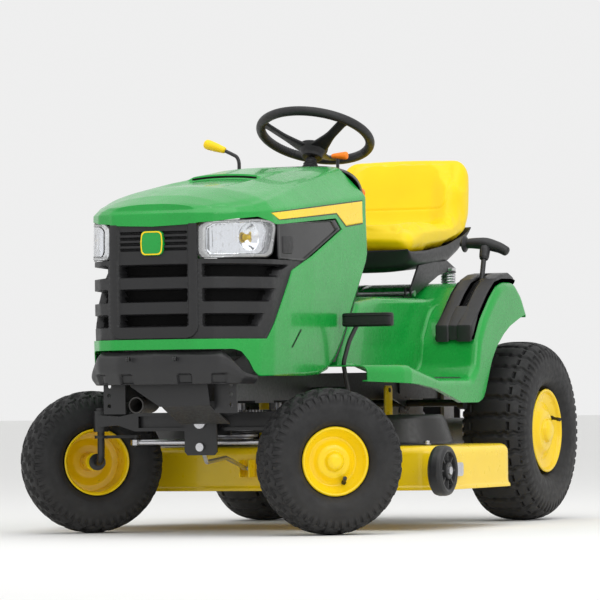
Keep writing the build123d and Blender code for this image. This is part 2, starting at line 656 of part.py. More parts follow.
# ---------------------------------------------------------------- seat
def make_seat():
    """A bucket seat on a base that tips forward on a bracket and rests on two springs."""
    shell = [(886, 758), (880, 800), (900, 828), (1000, 812), (1150, 806), (1250, 818), (1292, 850), (1318, 930),
             (1340, 1005), (1362, 1040), (1392, 1042), (1410, 1020), (1408, 930), (1384, 830), (1340, 786),
             (1180, 768), (1000, 758)]
    cushion = slab_x(shell, -seat_half_width, seat_half_width)
    bolster = slab_x([(930, 818), (1000, 850), (1180, 858), (1262, 890), (1300, 980), (1330, 1020), (1380, 1020),
                      (1380, 850), (1250, 790), (930, 790)], seat_half_width - 52, seat_half_width)
    cushion += both_sides(bolster)
    for side in (-1, 1):
        trim = slab_y([(side * 130, 1060), (side * 232, 1060), (side * 232, 960), (side * 218, 990),
                       (side * 190, 1030)], 1280, 1430)
        cushion -= trim
    parts["seat_cushion"] = cushion
    base = slab_x([(910, 752), (1000, 752), (1180, 764), (1338, 782), (1372, 812), (1360, 770), (1290, 722),
                   (1200, 706), (985, 700), (925, 722)], -212, 212)
    arms = both_sides(slab_x([(seat_hinge_y - 9, seat_hinge_z - 7), (seat_hinge_y + 9, seat_hinge_z - 8), (1130, 690),
                              (1200, 706), (1160, 712), (985, 700), (seat_hinge_y - 9, seat_hinge_z + 9)], 192, 198))
    pad = both_sides(block((166, 214), (1190, 1268), (708, 716)) + block((176, 204), (1180, 1262), (706, 718)))
    pin = rod((-205, seat_hinge_y, seat_hinge_z), (205, seat_hinge_y, seat_hinge_z), 6)
    parts["seat_base"] = base + arms + pad + pin
    top = deck_seat_z + panel_wall / 2
    bracket = block((-184, 184), (seat_hinge_y - 26, seat_hinge_y + 26), (top, top + 4))
    bracket += both_sides(block((180, 184), (seat_hinge_y - 18, seat_hinge_y + 18), (top, 652)))
    bracket -= rod((-220, seat_hinge_y, seat_hinge_z), (220, seat_hinge_y, seat_hinge_z), 6 + running_gap)
    parts["seat_bracket"] = bracket
    wire, coil = 3.6, 18.0
    spring_bottom, spring_top = 660.0, 700.0
    helix = Helix(pitch=10.5, height=spring_top - spring_bottom, radius=coil)
    turns = sweep(Plane(origin=helix @ 0, z_dir=helix % 0) * Circle(wire), path=helix, is_frenet=True)
    one = Pos(spring_x, spring_y, spring_bottom) * turns
    one += Pos(spring_x, spring_y, 656) * Cylinder(22, 8) + Pos(spring_x, spring_y, 702) * Cylinder(22, 7)
    parts["seat_springs"] = both_sides(one)


# ---------------------------------------------------------------- controls
def make_pedals():
    """The brake pedal on the left, and the forward and reverse pedals on the right."""
    pivot_z = 370
    arm = bent_rod([(270, 300, pivot_z), (270, 270, 440), (300, 300, 548)], 6, 20)
    pad = fillet(block((258, 402), (285, 312), (534, 576)).edges().filter_by(Axis.X), 8)
    boss = rod((rail_outer_x + 0.5, 300, pivot_z), (282, 300, pivot_z), 9)
    parts["brake_pedal"] = arm + pad + boss
    for name, x, y, z in (("forward_pedal", -286, 330, 500), ("reverse_pedal", -322, 372, 470)):
        arm = rod((x, y, pivot_z - 4), (x, y - 14, z), 6)
        boss = rod((x - 12, y, pivot_z - 4), (-rail_outer_x - 0.5, y, pivot_z - 4), 9)
        pad = Pos(x, y - 16, z) * Rot(-28, 0, 0) * fillet(Box(62, 96, 12).edges().filter_by(Axis.Z), 12)
        if name == "reverse_pedal":
            pad = Pos(x - 30, y + 24, z) * Rot(-28, 0, 0) * fillet(Box(62, 60, 12).edges().filter_by(Axis.Z), 12)
            arm = rod((x, y, pivot_z - 4), (x - 8, y + 18, z), 6)
        parts[name] = arm + boss + pad


def make_lift():
    """The lift lever on its rockshaft, its T handle with a release button, and the arms that raise the deck."""
    shaft = rod((-190, lift_y, lift_z), (lift_lever_x + 8, lift_y, lift_z), lift_shaft_radius)
    rest = radians(lift_swing / 2)
    pin_y, pin_z = lift_y - lift_arm * cos(rest), lift_z + lift_arm * sin(rest)
    way = Vector(0, pin_z - lift_z, -(pin_y - lift_y)).normalized() * 12
    arm = slab_x([(lift_y + way.Y, lift_z + way.Z), (lift_y - way.Y, lift_z - way.Z),
                  (pin_y - way.Y, pin_z - way.Z), (pin_y + way.Y, pin_z + way.Z)], 176, 182)
    arm += rod((176, lift_y, lift_z), (182, lift_y, lift_z), 20) + rod((182, pin_y, pin_z), (192, pin_y, pin_z), 6)
    lever = bent_rod([(lift_lever_x, lift_y, lift_z), (lift_lever_x, 1004, 560), (lift_lever_x, 1082, 655),
                      (lift_lever_x, 1106, 730)], 7, 30)
    boss = rod((lift_lever_x - 10, lift_y, lift_z), (lift_lever_x + 8, lift_y, lift_z), 18)
    parts["lift_lever"] = shaft + both_sides(arm) + lever + boss
    grip = bent_rod([(284, 1126, grip_z), (340, 1126, grip_z - 1), (408, 1136, grip_z - 28)], 17, 60)
    collar = rod((lift_lever_x, 1106.5, 732), (lift_lever_x, 1122, grip_z - 4), 13)
    flange = rod((277, 1126, grip_z), (284, 1126, grip_z), 25)
    bore = rod((268, 1126, grip_z), (290, 1126, grip_z), 8 + running_gap)
    parts["lift_handle"] = grip + collar + flange - bore
    parts["lift_button"] = rod((268, 1126, grip_z), (284, 1126, grip_z), 8)


def make_hand_controls():
    """Blade clutch lever and throttle on the dash, and the choke knob on its left end."""
    lever = rod((-170, 592, 930), (-170, 590, 1014), 5) + rod((-170, 590, 1010), (-215, 584, 1034), 5)
    knob = rod((-210, 585, 1032), (-268, 578, 1052), 14)
    parts["pto_lever"] = lever + rod((-176, 592, 930), (-164, 592, 930), 12) + knob
    arm = rod((118, 604, 930), (118, 604, 1006), 4.5) + rod((112, 604, 930), (124, 604, 930), 12)
    tab = block((100, 150), (592, 614), (997, 1021))
    parts["throttle_lever"] = arm + fillet(tab.edges().filter_by(Axis.Y), 7)
    parts["choke_knob"] = (rod((choke_x, 700, 925), (choke_x, 742, 914.5), 4)
                           + rod((choke_x, 742, 914.5), (choke_x, 762, 909.5), 13))


# ---------------------------------------------------------------- mower deck
def deck_outline(grow):
    """The deck's plan, grown or shrunk by an amount."""
    w, f, r = deck_half_width + grow, deck_front - grow, deck_rear + grow
    half = [(110, f), (140, f + 16), (430, f + 18), (500, f + 34), (w, f + 78), (w, r - 60), (w - 20, r - 18),
            (w - 62, r)]
    return half + [(-x, y) for x, y in half[::-1]]


def make_deck():
    """The stamped shell with its hanger links, spindle towers and gauge wheel brackets."""
    shell = slab_z(deck_outline(0), deck_bottom, deck_top)
    shell -= slab_z(deck_outline(-deck_wall), deck_bottom - 1, deck_top - deck_wall)
    shell -= block((-600, -500), (chute_front + 5, chute_front + chute_length - 5), (deck_bottom - 1, 205))
    for side in (-1, 1):
        shell += Pos(side * spindle_x, spindle_y, deck_top + 5) * Cylinder(48, 10)
        shell -= Pos(side * spindle_x, spindle_y, deck_top) * Cylinder(10 + running_gap, 60)
    rest = radians(lift_swing / 2)
    pin_y, pin_z = lift_y - lift_arm * cos(rest), lift_z + lift_arm * sin(rest)
    link = block((184, 189), (pin_y - 26, pin_y + 26), (deck_top - 1, pin_z + 14))
    link -= block((183, 190), (pin_y - 14, pin_y + 9), (pin_z - 7.5, pin_z + 7.5))
    foot = block((189, 205), (pin_y - 26, pin_y + 26), (deck_top - 1, deck_top + 4))
    arm = block((deck_half_width, deck_half_width + 4), (gauge_wheel_y - 16, 430), (140, 176))
    arm += rod((deck_half_width, gauge_wheel_y, 157.5), (deck_half_width + gauge_wheel_width + 6, gauge_wheel_y, 157.5), 6)
    arm += rod((deck_half_width + gauge_wheel_width + 7.5, gauge_wheel_y, 157.5),
               (deck_half_width + gauge_wheel_width + 10, gauge_wheel_y, 157.5), 11)
    arm += rod((deck_half_width + 4, gauge_wheel_y, 157.5),
               (deck_half_width + gauge_wheel_width + 10, gauge_wheel_y, 157.5), 6)
    shell += both_sides(link + foot + arm)
    ear = block((-16, -12), (222, deck_front + 2), (140, 190)) + block((12, 16), (222, deck_front + 2), (140, 190))
    parts["deck_shell"] = shell + ear
    dome = turned_z([(0, 300), (122, 300), (146, deck_top + 1), (158, deck_top + 1), (158, deck_top + 4),
                     (149, deck_top + 4), (125, 303), (0, 303)])
    parts["belt_covers"] = both_sides(Pos(spindle_x + 32, spindle_y + 30, 0) * dome)
    for side, name in ((1, "left"), (-1, "right")):
        groove = spindle_pulley_radius - 12
        stack = [(0, deck_bottom + 4), (22, deck_bottom + 4), (22, blade_z - 0.5), (10, blade_z - 0.5), (10, 236),
                 (spindle_pulley_radius, 236), (spindle_pulley_radius, 238), (groove, 242), (groove, 246),
                 (spindle_pulley_radius, 250), (spindle_pulley_radius, 253), (10, 253), (10, 270), (0, 270)]
        spindle = turned_z(stack)
        half = blade_length / 2
        lift = 16
        blade = slab_z([(-half, -30), (half - 60, -30), (half, -20), (half, 30), (-half + 60, 30), (-half, 20)],
                       blade_z, blade_z + 4)
        sail = slab_y([(half - 110, blade_z), (half - 12, blade_z), (half - 16, blade_z + lift), (half - 60, blade_z + lift)],
                      26, 30)
        blade += sail + Rot(0, 0, 180) * sail
        turn = Rot(0, 0, 25 * side)
        parts[f"{name}_spindle"] = Pos(side * spindle_x, spindle_y, 0) * turn * (spindle + blade)


def make_deck_fittings():
    """The gauge wheels, the hinged discharge chute and the draft rod to the front hanger."""
    half = gauge_wheel_width / 2
    for side, name in ((1, "left"), (-1, "right")):
        profile = [(-half, 6.3), (-half, 20), (-5, 22), (-5, 48), (-half + 3, 50), (-half, 58), (-half + 5, 64),
                   (-8, gauge_wheel_radius), (8, gauge_wheel_radius), (half - 5, 64), (half, 58), (half - 3, 50),
                   (5, 48), (5, 22), (half, 20), (half, 6.3)]
        centre = side * (deck_half_width + 6 + half)
        parts[f"{name}_gauge_wheel"] = Pos(centre, gauge_wheel_y, 157.5) * turned_x(profile)
    x = -deck_half_width
    reach = -right_reach
    top = band([(x - 8, 224), (x - 40, 220), (reach + 22, 170), (reach + 3, 112)], 4)
    chute = slab_y(top, chute_front, chute_front + chute_length)
    cheek = [(x - 10, 224), (x - 40, 220), (reach + 22, 170), (reach + 3, 112), (x - 10, 112)]
    chute += slab_y(cheek, chute_front, chute_front + 4)
    chute += slab_y(cheek, chute_front + chute_length - 4, chute_front + chute_length)
    chute += rod((x - 7, chute_front, 228), (x - 7, chute_front + chute_length, 228), 5)
    parts["discharge_chute"] = chute
    draft = bent_rod([(-26, -30, 212), (0, -30, 212), (0, -10, 186), (0, 110, 196), (0, 236, 166)], 5.5, 8)
    parts["draft_rod"] = draft + rod((-8, 236, 166), (8, 236, 166), 5.5)


make_wheels()
make_axle()
make_linkage()
make_steering_gear()
make_steering_wheel()
make_frame()
make_fasteners()
make_engine()
make_drive()
make_supplies()
make_hood()
make_bumper()
make_dash()
make_fender()
make_console()
make_seat()
make_pedals()
make_lift()
make_hand_controls()
make_deck()
make_deck_fittings()

os.makedirs("parts", exist_ok=True)
for name, shape in parts.items():
    export_step(Pos(-origin_x, -origin_y, 0) * shape, f"parts/{name}.step")
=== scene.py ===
import json
from math import cos, pi, radians, sin
import bmesh
import bpy
import numpy as np
from mathutils import Matrix, Vector

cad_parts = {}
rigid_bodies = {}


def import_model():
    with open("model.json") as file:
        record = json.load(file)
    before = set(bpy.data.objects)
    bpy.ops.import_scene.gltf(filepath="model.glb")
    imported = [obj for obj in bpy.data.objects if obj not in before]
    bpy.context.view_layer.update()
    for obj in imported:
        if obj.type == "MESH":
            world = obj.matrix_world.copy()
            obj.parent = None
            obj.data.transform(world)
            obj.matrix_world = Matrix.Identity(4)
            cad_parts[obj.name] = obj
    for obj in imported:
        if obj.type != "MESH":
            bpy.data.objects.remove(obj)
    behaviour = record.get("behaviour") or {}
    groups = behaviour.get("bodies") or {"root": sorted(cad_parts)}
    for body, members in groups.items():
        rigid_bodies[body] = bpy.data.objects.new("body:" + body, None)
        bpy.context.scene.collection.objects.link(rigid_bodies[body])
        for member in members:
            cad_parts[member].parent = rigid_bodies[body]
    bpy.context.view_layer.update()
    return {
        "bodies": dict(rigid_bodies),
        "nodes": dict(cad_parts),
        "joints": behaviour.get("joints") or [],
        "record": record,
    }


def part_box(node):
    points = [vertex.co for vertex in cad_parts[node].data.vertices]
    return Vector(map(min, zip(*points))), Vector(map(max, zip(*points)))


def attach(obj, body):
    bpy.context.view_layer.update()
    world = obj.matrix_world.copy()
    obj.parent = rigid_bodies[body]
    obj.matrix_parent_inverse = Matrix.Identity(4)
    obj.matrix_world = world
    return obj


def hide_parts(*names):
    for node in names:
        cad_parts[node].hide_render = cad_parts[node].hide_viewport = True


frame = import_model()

print("frame loaded", len(frame["nodes"]), "nodes")


# ---- places: shapes are worked out in machine millimetres, from the middle of the front axle on the ground
axleLow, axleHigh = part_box("front_axle_beam")
home = np.array([(axleLow.x + axleHigh.x) / 2, (axleLow.y + axleHigh.y) / 2, 0.0])


def box(node):
    # lowest and highest corner of a node, in machine millimetres
    low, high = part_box(node)
    return (np.array(low) - home) * 1000, (np.array(high) - home) * 1000


def joint(name):
    # a joint's place in machine millimetres, and its axis
    found = next(j for j in frame["joints"] if j["name"] == name)
    return (np.array(found.get("pos_m", (0, 0, 0))) - home) * 1000, np.array(found["axis"], float)


# ---- shader building
class Flow:
    # one socket of a material, so that sums on values read as sums
    def __init__(self, finish, socket):
        self.finish, self.socket = finish, socket

    def calc(self, operation, first, second):
        return self.finish.add("Math", {"operation": operation}, {0: first, 1: second})

    def __add__(self, other):
        return self.calc("ADD", self, other)

    __radd__ = __add__

    def __mul__(self, other):
        return self.calc("MULTIPLY", self, other)

    __rmul__ = __mul__

    def __sub__(self, other):
        return self.calc("SUBTRACT", self, other)

    def __rsub__(self, other):
        return self.calc("SUBTRACT", other, self)

    def __pow__(self, other):
        return self.calc("POWER", self, other)


class Finish:
    # a material with its shader, and one method that adds any other node
    def __init__(self, name, **sockets):
        self.material = bpy.data.materials.new(name)
        self.material.use_nodes = True
        self.tree = self.material.node_tree
        self.shader = self.tree.nodes["Principled BSDF"]
        for key, value in sockets.items():
            self.set(key, value)
        self.place = self.add("TexCoord", {}, {}, "Object")

    def set(self, key, value):
        socket = self.shader.inputs[key.replace("_", " ")]
        if isinstance(value, Flow):
            self.tree.links.new(value.socket, socket)
        elif hasattr(value, "__len__") and len(value) == 3:
            socket.default_value = (*value, 1)
        else:
            socket.default_value = value

    def add(self, kind, settings, values, output=0):
        node = self.tree.nodes.new("ShaderNode" + kind)
        for key, value in settings.items():
            if key == "stops":
                ramp = node.color_ramp
                while len(ramp.elements) < len(value):
                    ramp.elements.new(0.5)
                for element, (at, colour) in zip(ramp.elements, value):
                    element.position = at
                    element.color = (*colour, 1) if hasattr(colour, "__len__") else (colour,) * 3 + (1,)
            else:
                setattr(node, key, value)
        for key, value in values.items():
            if isinstance(value, Flow):
                self.tree.links.new(value.socket, node.inputs[key])
            else:
                node.inputs[key].default_value = value
        return Flow(self, node.outputs[output])

    def noise(self, scale, detail=3.0, roughness=0.5, where=None):
        return self.add("TexNoise", {}, {"Vector": where or self.place, "Scale": scale, "Detail": detail,
                                         "Roughness": roughness})

    def ramp(self, value, *stops):
        return self.add("ValToRGB", {"stops": stops}, {0: value})

    def span(self, value, low, high, newLow, newHigh):
        return self.add("MapRange", {"clamp": True}, {0: value, 1: low, 2: high, 3: newLow, 4: newHigh})

    def mixColour(self, share, first, second):
        first = (*first, 1) if not isinstance(first, Flow) else first
        second = (*second, 1) if not isinstance(second, Flow) else second
        return self.add("Mix", {"data_type": "RGBA"}, {0: share, 6: first, 7: second}, 2)

    def bump(self, height, distance, strength=1.0):
        self.set("Normal", self.add("Bump", {},
                                    {"Height": height, "Distance": distance, "Strength": strength}))


def heightOf(finish):
    # height over the ground in metres, for dust that gathers low down
    return finish.add("SeparateXYZ", {}, {0: finish.place}, 2)


def glossPaint(name, colour, deep, rough=0.24, peel=0.00008):
    # enamel: a slow drift between two tones, faint orange peel in the clear coat, and dust in the low parts
    f = Finish(name, Coat_Weight=0.30, Coat_Roughness=0.05, Specular_IOR_Level=0.36)
    drift = f.span(f.noise(5.0, 2.0), 0.35, 0.7, 0.0, 1.0)
    dust = f.span(heightOf(f), 0.08, 0.35, 0.07, 0.0) * f.noise(60.0, 4.0)
    paint = f.mixColour(drift, colour, deep)
    f.set("Base_Color", f.mixColour(dust, paint, (0.30, 0.27, 0.22)))
    f.set("Roughness", f.span(f.noise(38.0, 5.0, 0.6), 0.3, 0.75, rough - 0.04, rough + 0.08) + dust * 0.6)
    f.bump(f.noise(300.0, 0.0), peel, 0.35)
    return f.material


def mouldedPlastic(name, colour, rough=0.5, grain=0.00022, scale=1500.0):
    # fine spark-eroded grain, with paler scuffs where a hand or a boot rubs
    f = Finish(name, Specular_IOR_Level=0.42)
    scuff = f.span(f.noise(24.0, 8.0, 0.7), 0.58, 0.8, 0.0, 0.35)
    f.set("Base_Color", f.mixColour(scuff, colour, tuple(min(1.0, c * 1.9 + 0.012) for c in colour)))
    f.set("Roughness", f.span(f.noise(90.0, 3.0), 0.3, 0.7, rough - 0.07, rough + 0.09))
    cells = f.add("TexVoronoi", {"feature": "SMOOTH_F1"}, {"Vector": f.place, "Scale": scale})
    f.bump(cells, grain, 0.55)
    return f.material


def powderCoat(name, colour, rough=0.36):
    # satin powder coat: rounded grain, bright worn spots that are rare
    f = Finish(name, Specular_IOR_Level=0.5, Coat_Weight=0.15, Coat_Roughness=0.25)
    worn = f.span(f.noise(55.0, 9.0, 0.75), 0.70, 0.78, 0.0, 0.5)
    f.set("Base_Color", f.mixColour(worn, colour, (0.09, 0.085, 0.08)))
    f.set("Roughness", f.span(f.noise(140.0, 4.0), 0.3, 0.7, rough - 0.06, rough + 0.12))
    f.bump(f.noise(700.0, 2.0), 0.00015, 0.6)
    return f.material


def tyreRubber():
    # dull rubber: grey bloom in broad patches, dust low down, fine moulding grain
    f = Finish("tyreRubber", Specular_IOR_Level=0.35)
    bloom = f.span(f.noise(14.0, 6.0, 0.65), 0.4, 0.75, 0.0, 0.55)
    black = f.mixColour(bloom, (0.011, 0.011, 0.012), (0.030, 0.030, 0.031))
    dust = f.span(heightOf(f), 0.0, 0.25, 0.16, 0.02) * f.noise(35.0, 5.0)
    f.set("Base_Color", f.mixColour(dust, black, (0.16, 0.145, 0.12)))
    f.set("Roughness", f.span(f.noise(70.0, 4.0), 0.3, 0.7, 0.50, 0.72))
    f.bump(f.noise(900.0, 3.0), 0.0002, 0.5)
    return f.material


def vinyl():
    # moulded vinyl: soft leather cells in the bump, tone drifting a little, slightly duller where it is sat on
    f = Finish("yellowVinyl", Specular_IOR_Level=0.32)
    drift = f.span(f.noise(7.0, 3.0), 0.35, 0.7, 0.0, 1.0)
    f.set("Base_Color", f.mixColour(drift, (0.93, 0.68, 0.0), (0.90, 0.63, 0.0)))
    f.set("Roughness", f.span(f.noise(30.0, 4.0), 0.3, 0.7, 0.36, 0.47))
    cells = f.add("TexVoronoi", {"feature": "SMOOTH_F1"}, {"Vector": f.place, "Scale": 520.0})
    f.bump(cells + f.noise(1400.0, 2.0) * 0.3, 0.0003, 0.35)
    return f.material


def metal(name, colour, rough, streak=0.12):
    # plated or ground metal: streaks along X and small dull spots
    f = Finish(name, Metallic=1.0)
    stretched = f.add("Mapping", {}, {0: f.place, 3: (12.0, 160.0, 160.0)})
    lines = f.noise(8.0, 4.0, 0.6, stretched)
    spots = f.span(f.noise(85.0, 5.0), 0.55, 0.75, 0.0, 0.35)
    f.set("Base_Color", f.mixColour(spots, colour, tuple(c * 0.55 for c in colour)))
    f.set("Roughness", f.span(lines, 0.3, 0.7, rough - streak / 2, rough + streak) + spots * 0.25)
    f.bump(lines, 0.0001, 0.4)
    return f.material


def clearLens():
    # clear moulded lens: water-clear, with a faint ripple
    f = Finish("clearLens", Base_Color=(0.97, 0.98, 1.0), Transmission_Weight=1.0, IOR=1.42)
    f.set("Roughness", f.span(f.noise(30.0, 3.0), 0.4, 0.8, 0.02, 0.07))
    f.bump(f.noise(60.0, 1.0), 0.0003, 0.3)
    return f.material


def frostedRim():
    # the lens's thick edge, milky where it is moulded
    f = Finish("lensEdge", Transmission_Weight=0.55, IOR=1.45)
    f.set("Base_Color", f.mixColour(f.noise(40.0, 3.0), (0.55, 0.56, 0.57), (0.85, 0.86, 0.87)))
    f.set("Roughness", f.span(f.noise(90.0, 3.0), 0.3, 0.7, 0.15, 0.3))
    return f.material


def paintedShadeBlack():
    # painted shade: a near-black colour for the unlit inside of the grille and the slots, with a faint noise
    # variation
    f = Finish("paintedShadeBlack", Specular_IOR_Level=0.15, Roughness=0.85)
    f.set("Base_Color", f.mixColour(f.noise(30.0, 4.0), (0.002, 0.002, 0.002), (0.006, 0.006, 0.006)))
    return f.material


paints = {
    "green": glossPaint("greenEnamel", (0.008, 0.335, 0.046), (0.006, 0.290, 0.038), 0.26),
    "yellow": glossPaint("yellowEnamel", (0.95, 0.67, 0.0), (0.92, 0.62, 0.0), 0.28),
    "black": mouldedPlastic("blackMoulding", (0.014, 0.014, 0.015), 0.46),
    "satin": mouldedPlastic("satinMoulding", (0.020, 0.020, 0.021), 0.36, 0.00012),
    "gloss": mouldedPlastic("glossMoulding", (0.0045, 0.0045, 0.005), 0.14, 0.00004),
    "steel": powderCoat("blackPowderCoat", (0.010, 0.010, 0.011)),
    "tyre": tyreRubber(),
    "vinyl": vinyl(),
    "zinc": metal("zincPlate", (0.62, 0.62, 0.64), 0.28),
    "ground": metal("groundSteel", (0.36, 0.36, 0.38), 0.36),
    "cast": metal("castAlloy", (0.42, 0.42, 0.43), 0.55, 0.2),
    "chrome": metal("reflectorSilver", (0.86, 0.87, 0.88), 0.10, 0.06),
    "orange": mouldedPlastic("orangeKnob", (1.0, 0.235, 0.008), 0.38),
    "knob": mouldedPlastic("yellowKnob", (1.0, 0.66, 0.0), 0.38),
    "belt": mouldedPlastic("beltRubber", (0.012, 0.012, 0.012), 0.7, 0.0004, 700.0),
    "exhaust": powderCoat("exhaustCoat", (0.045, 0.042, 0.040), 0.5),
    "lens": clearLens(),
    "edge": frostedRim(),
    # near-black painted shade, laid where the insides of slots and openings would be dark
    "void": paintedShadeBlack(),
}
slotPaint = {"green_paint": "green", "yellow_paint": "yellow", "yellow_seat": "vinyl",
             "black_plastic": "black",
             "black_steel": "steel", "tyre_rubber": "tyre", "lens": "lens", "bright_steel": "zinc",
             "blade_steel": "ground", "cast_grey": "cast", "orange_plastic": "orange",
             "yellow_plastic": "knob",
             "belt_rubber": "belt", "exhaust_steel": "exhaust"}
paintSlot = {paint: slot for slot, paint in slotPaint.items()}
paintSlot.update(satin="black_plastic", gloss="black_plastic", void="black_plastic", chrome="bright_steel",
                 edge="lens")
for part in frame["record"]["subparts"]:
    mesh = frame["nodes"][part["node"]].data
    mesh.materials.clear()
    mesh.materials.append(paints[slotPaint[part["material_slot"]]])
print("finishes made", len(paints))


# ---- mesh helpers
def piece(name, vertices, faces, paint, body, replaces=(), smooth=True, turn=False):
    # one mesh in machine millimetres, put into the frame's metres
    mesh = bpy.data.meshes.new(name)
    vertices = np.asarray(vertices, float).reshape(-1, 3) / 1000 + home
    faces = np.asarray(faces)
    if turn:
        faces = faces[:, ::-1]
    mesh.vertices.add(len(vertices))
    mesh.vertices.foreach_set("co", vertices.astype(np.float32).ravel())
    corners = faces.shape[1]
    mesh.loops.add(faces.size)
    mesh.loops.foreach_set("vertex_index", faces.astype(np.int32).ravel())
    mesh.polygons.add(len(faces))
    mesh.polygons.foreach_set("loop_start", np.arange(0, faces.size, corners, dtype=np.int32))
    mesh.update(calc_edges=True)
    mesh.validate()
    tidy = bmesh.new()
    tidy.from_mesh(mesh)
    bmesh.ops.remove_doubles(tidy, verts=tidy.verts, dist=1e-5)
    bmesh.ops.dissolve_degenerate(tidy, dist=1e-6, edges=tidy.edges)
    tidy.to_mesh(mesh)
    tidy.free()
    if smooth:
        mesh.polygons.foreach_set("use_smooth", np.ones(len(mesh.polygons), bool))
        mesh.set_sharp_from_angle(angle=radians(38))
    mesh.materials.append(paints[paint])
    thing = bpy.data.objects.new(name, mesh)
    bpy.context.scene.collection.objects.link(thing)
    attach(thing, body)
    if replaces:
        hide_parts(*replaces)
    return thing


def gridFaces(rows, columns, closeRows=False, closeColumns=False):
    # quads of a grid of points stored row by row
    r = np.arange(rows if closeRows else rows - 1)
    c = np.arange(columns if closeColumns else columns - 1)
    a, b = np.meshgrid(r, c, indexing="ij")
    a2, b2 = (a + 1) % rows, (b + 1) % columns
    return np.stack([a * columns + b, a2 * columns + b, a2 * columns + b2, a * columns + b2],
                    -1).reshape(-1, 4)


def surface(name, points, paint, body, thick=0.0, closeRows=False, closeColumns=False, outward=None,
            **options):
    # a grid of points as one sheet; a thickness in millimetres turns it into a closed wall
    points = np.asarray(points, float)
    faces = gridFaces(points.shape[0], points.shape[1], closeRows, closeColumns)
    thing = piece(name, points, faces, paint, body, **options)
    if outward is not None:
        faceTowards(thing, outward)
    if thick:
        wall = thing.modifiers.new("wall", "SOLIDIFY")
        wall.thickness = thick / 1000
        wall.offset = -1
    return thing


def faceTowards(thing, way):
    # turns a sheet's faces so that their mean normal looks along a way, or away from a point
    mesh = thing.data
    normals = np.zeros(len(mesh.polygons) * 3)
    centres = np.zeros(len(mesh.polygons) * 3)
    areas = np.zeros(len(mesh.polygons))
    mesh.polygons.foreach_get("normal", normals)
    mesh.polygons.foreach_get("center", centres)
    mesh.polygons.foreach_get("area", areas)
    normals, centres = normals.reshape(-1, 3), centres.reshape(-1, 3)
    if len(way) == 4:
        aim = centres - (np.array(way[:3]) / 1000 + home)
    else:
        aim = np.broadcast_to(np.array(way, float), centres.shape)
    if ((normals * aim).sum(1) * areas).sum() < 0:
        mesh.flip_normals()


def joined(name, parts, paint, body, **options):
    # several (points, faces) blocks as one mesh
    base, allPoints, allFaces = 0, [], []
    for points, faces in parts:
        points = np.asarray(points, float).reshape(-1, 3)
        allPoints.append(points)
        allFaces.append(np.asarray(faces) + base)
        base += len(points)
    return piece(name, np.concatenate(allPoints), np.concatenate(allFaces), paint, body, **options)


def along(knots, count, soften=0.0):
    # evenly spaced points on a line of knots, its corners rounded by a running mean of the given reach
    knots = np.asarray(knots, float)
    steps = np.r_[0, np.cumsum(np.linalg.norm(np.diff(knots, axis=0), axis=1))]
    fine = np.linspace(0, steps[-1], 900)
    line = np.stack([np.interp(fine, steps, knots[:, k]) for k in range(knots.shape[1])], 1)
    if soften:
        reach = max(1, int(round(soften / (steps[-1] / 899))))
        kernel = np.hanning(2 * reach + 3)[1:-1]
        kernel /= kernel.sum()
        pad = np.concatenate([2 * line[:1] - line[reach:0:-1], line,
                              2 * line[-1:] - line[-2:-reach - 2:-1]])
        line = np.stack([np.convolve(pad[:, k], kernel, "valid") for k in range(line.shape[1])], 1)
    at = np.linspace(0, len(line) - 1, count)
    return np.stack([np.interp(at, np.arange(len(line)), line[:, k]) for k in range(line.shape[1])], 1)


def softened(column, reach):
    # rounds the corners of many polylines at once, axis 1 being the way along each line
    kernel = np.hanning(2 * reach + 3)[1:-1]
    kernel /= kernel.sum()
    pad = np.concatenate([2 * column[:, :1] - column[:, reach:0:-1], column,
                          2 * column[:, -1:] - column[:, -2:-reach - 2:-1]], 1)
    out = sum(kernel[k] * pad[:, k:k + column.shape[1]] for k in range(len(kernel)))
    return out


def turned(profile, segments, centre, axis):
    # a profile of (along, radius) carried round an axis; returns points and faces, closed round
    profile = np.asarray(profile, float)
    axis = np.asarray(axis, float) / np.linalg.norm(axis)
    side = np.cross(axis, [0, 0, 1.0]) if abs(axis[2]) < 0.9 else np.cross(axis, [1.0, 0, 0])
    side /= np.linalg.norm(side)
    up = np.cross(side, axis)
    angle = np.linspace(0, 2 * pi, segments, endpoint=False)[:, None]
    ring = np.cos(angle)[..., None] * side + np.sin(angle)[..., None] * up
    points = np.asarray(centre) + profile[None, :, :1] * axis + profile[None, :, 1:] * ring
    return points, gridFaces(segments, len(profile), True, False)


def carried(section, path, closed=False, upHint=(0, 0, 1.0), scale=None):
    # a closed section of (side, up) offsets carried along a path; ends are closed by shrinking to the middle
    path = np.asarray(path, float)
    section = np.asarray(section, float)
    ahead = np.gradient(path, axis=0)
    if closed:
        ahead = np.roll(path, -1, 0) - np.roll(path, 1, 0)
    ahead /= np.linalg.norm(ahead, axis=1, keepdims=True)
    side = np.cross(ahead, np.asarray(upHint, float))
    side /= np.linalg.norm(side, axis=1, keepdims=True)
    up = np.cross(side, ahead)
    size = np.ones(len(path)) if scale is None else np.asarray(scale, float)
    points = path[:, None] + size[:, None,
                                  None] * (section[None, :, :1] * side[:, None] + section[None, :,
                                          1:] * up[:, None])
    if not closed:
        cap = lambda k: np.repeat(path[k][None, None], len(section), 1)
        points = np.concatenate([cap(0), points, cap(-1)], 0)
    return points, gridFaces(points.shape[0], points.shape[1], closed, True)


def disc(radius, count=24, squash=1.0):
    angle = np.linspace(0, 2 * pi, count, endpoint=False)
    return np.stack([radius * np.cos(angle), radius * squash * np.sin(angle)], 1)


def powered(value, power):
    # a power that keeps the sign, for rounded boxes
    return np.sign(value) * np.abs(value) ** power


def eased(value, reach):
    # a quarter circle that climbs from 0 to 1 over the reach
    return np.sqrt(np.clip(1 - (1 - np.clip(value / reach, 0, 1)) ** 2, 0, 1))


def gridOf(x, y, z):
    # three arrays spread over one grid of points
    return np.stack(np.broadcast_arrays(x, y, z), -1)


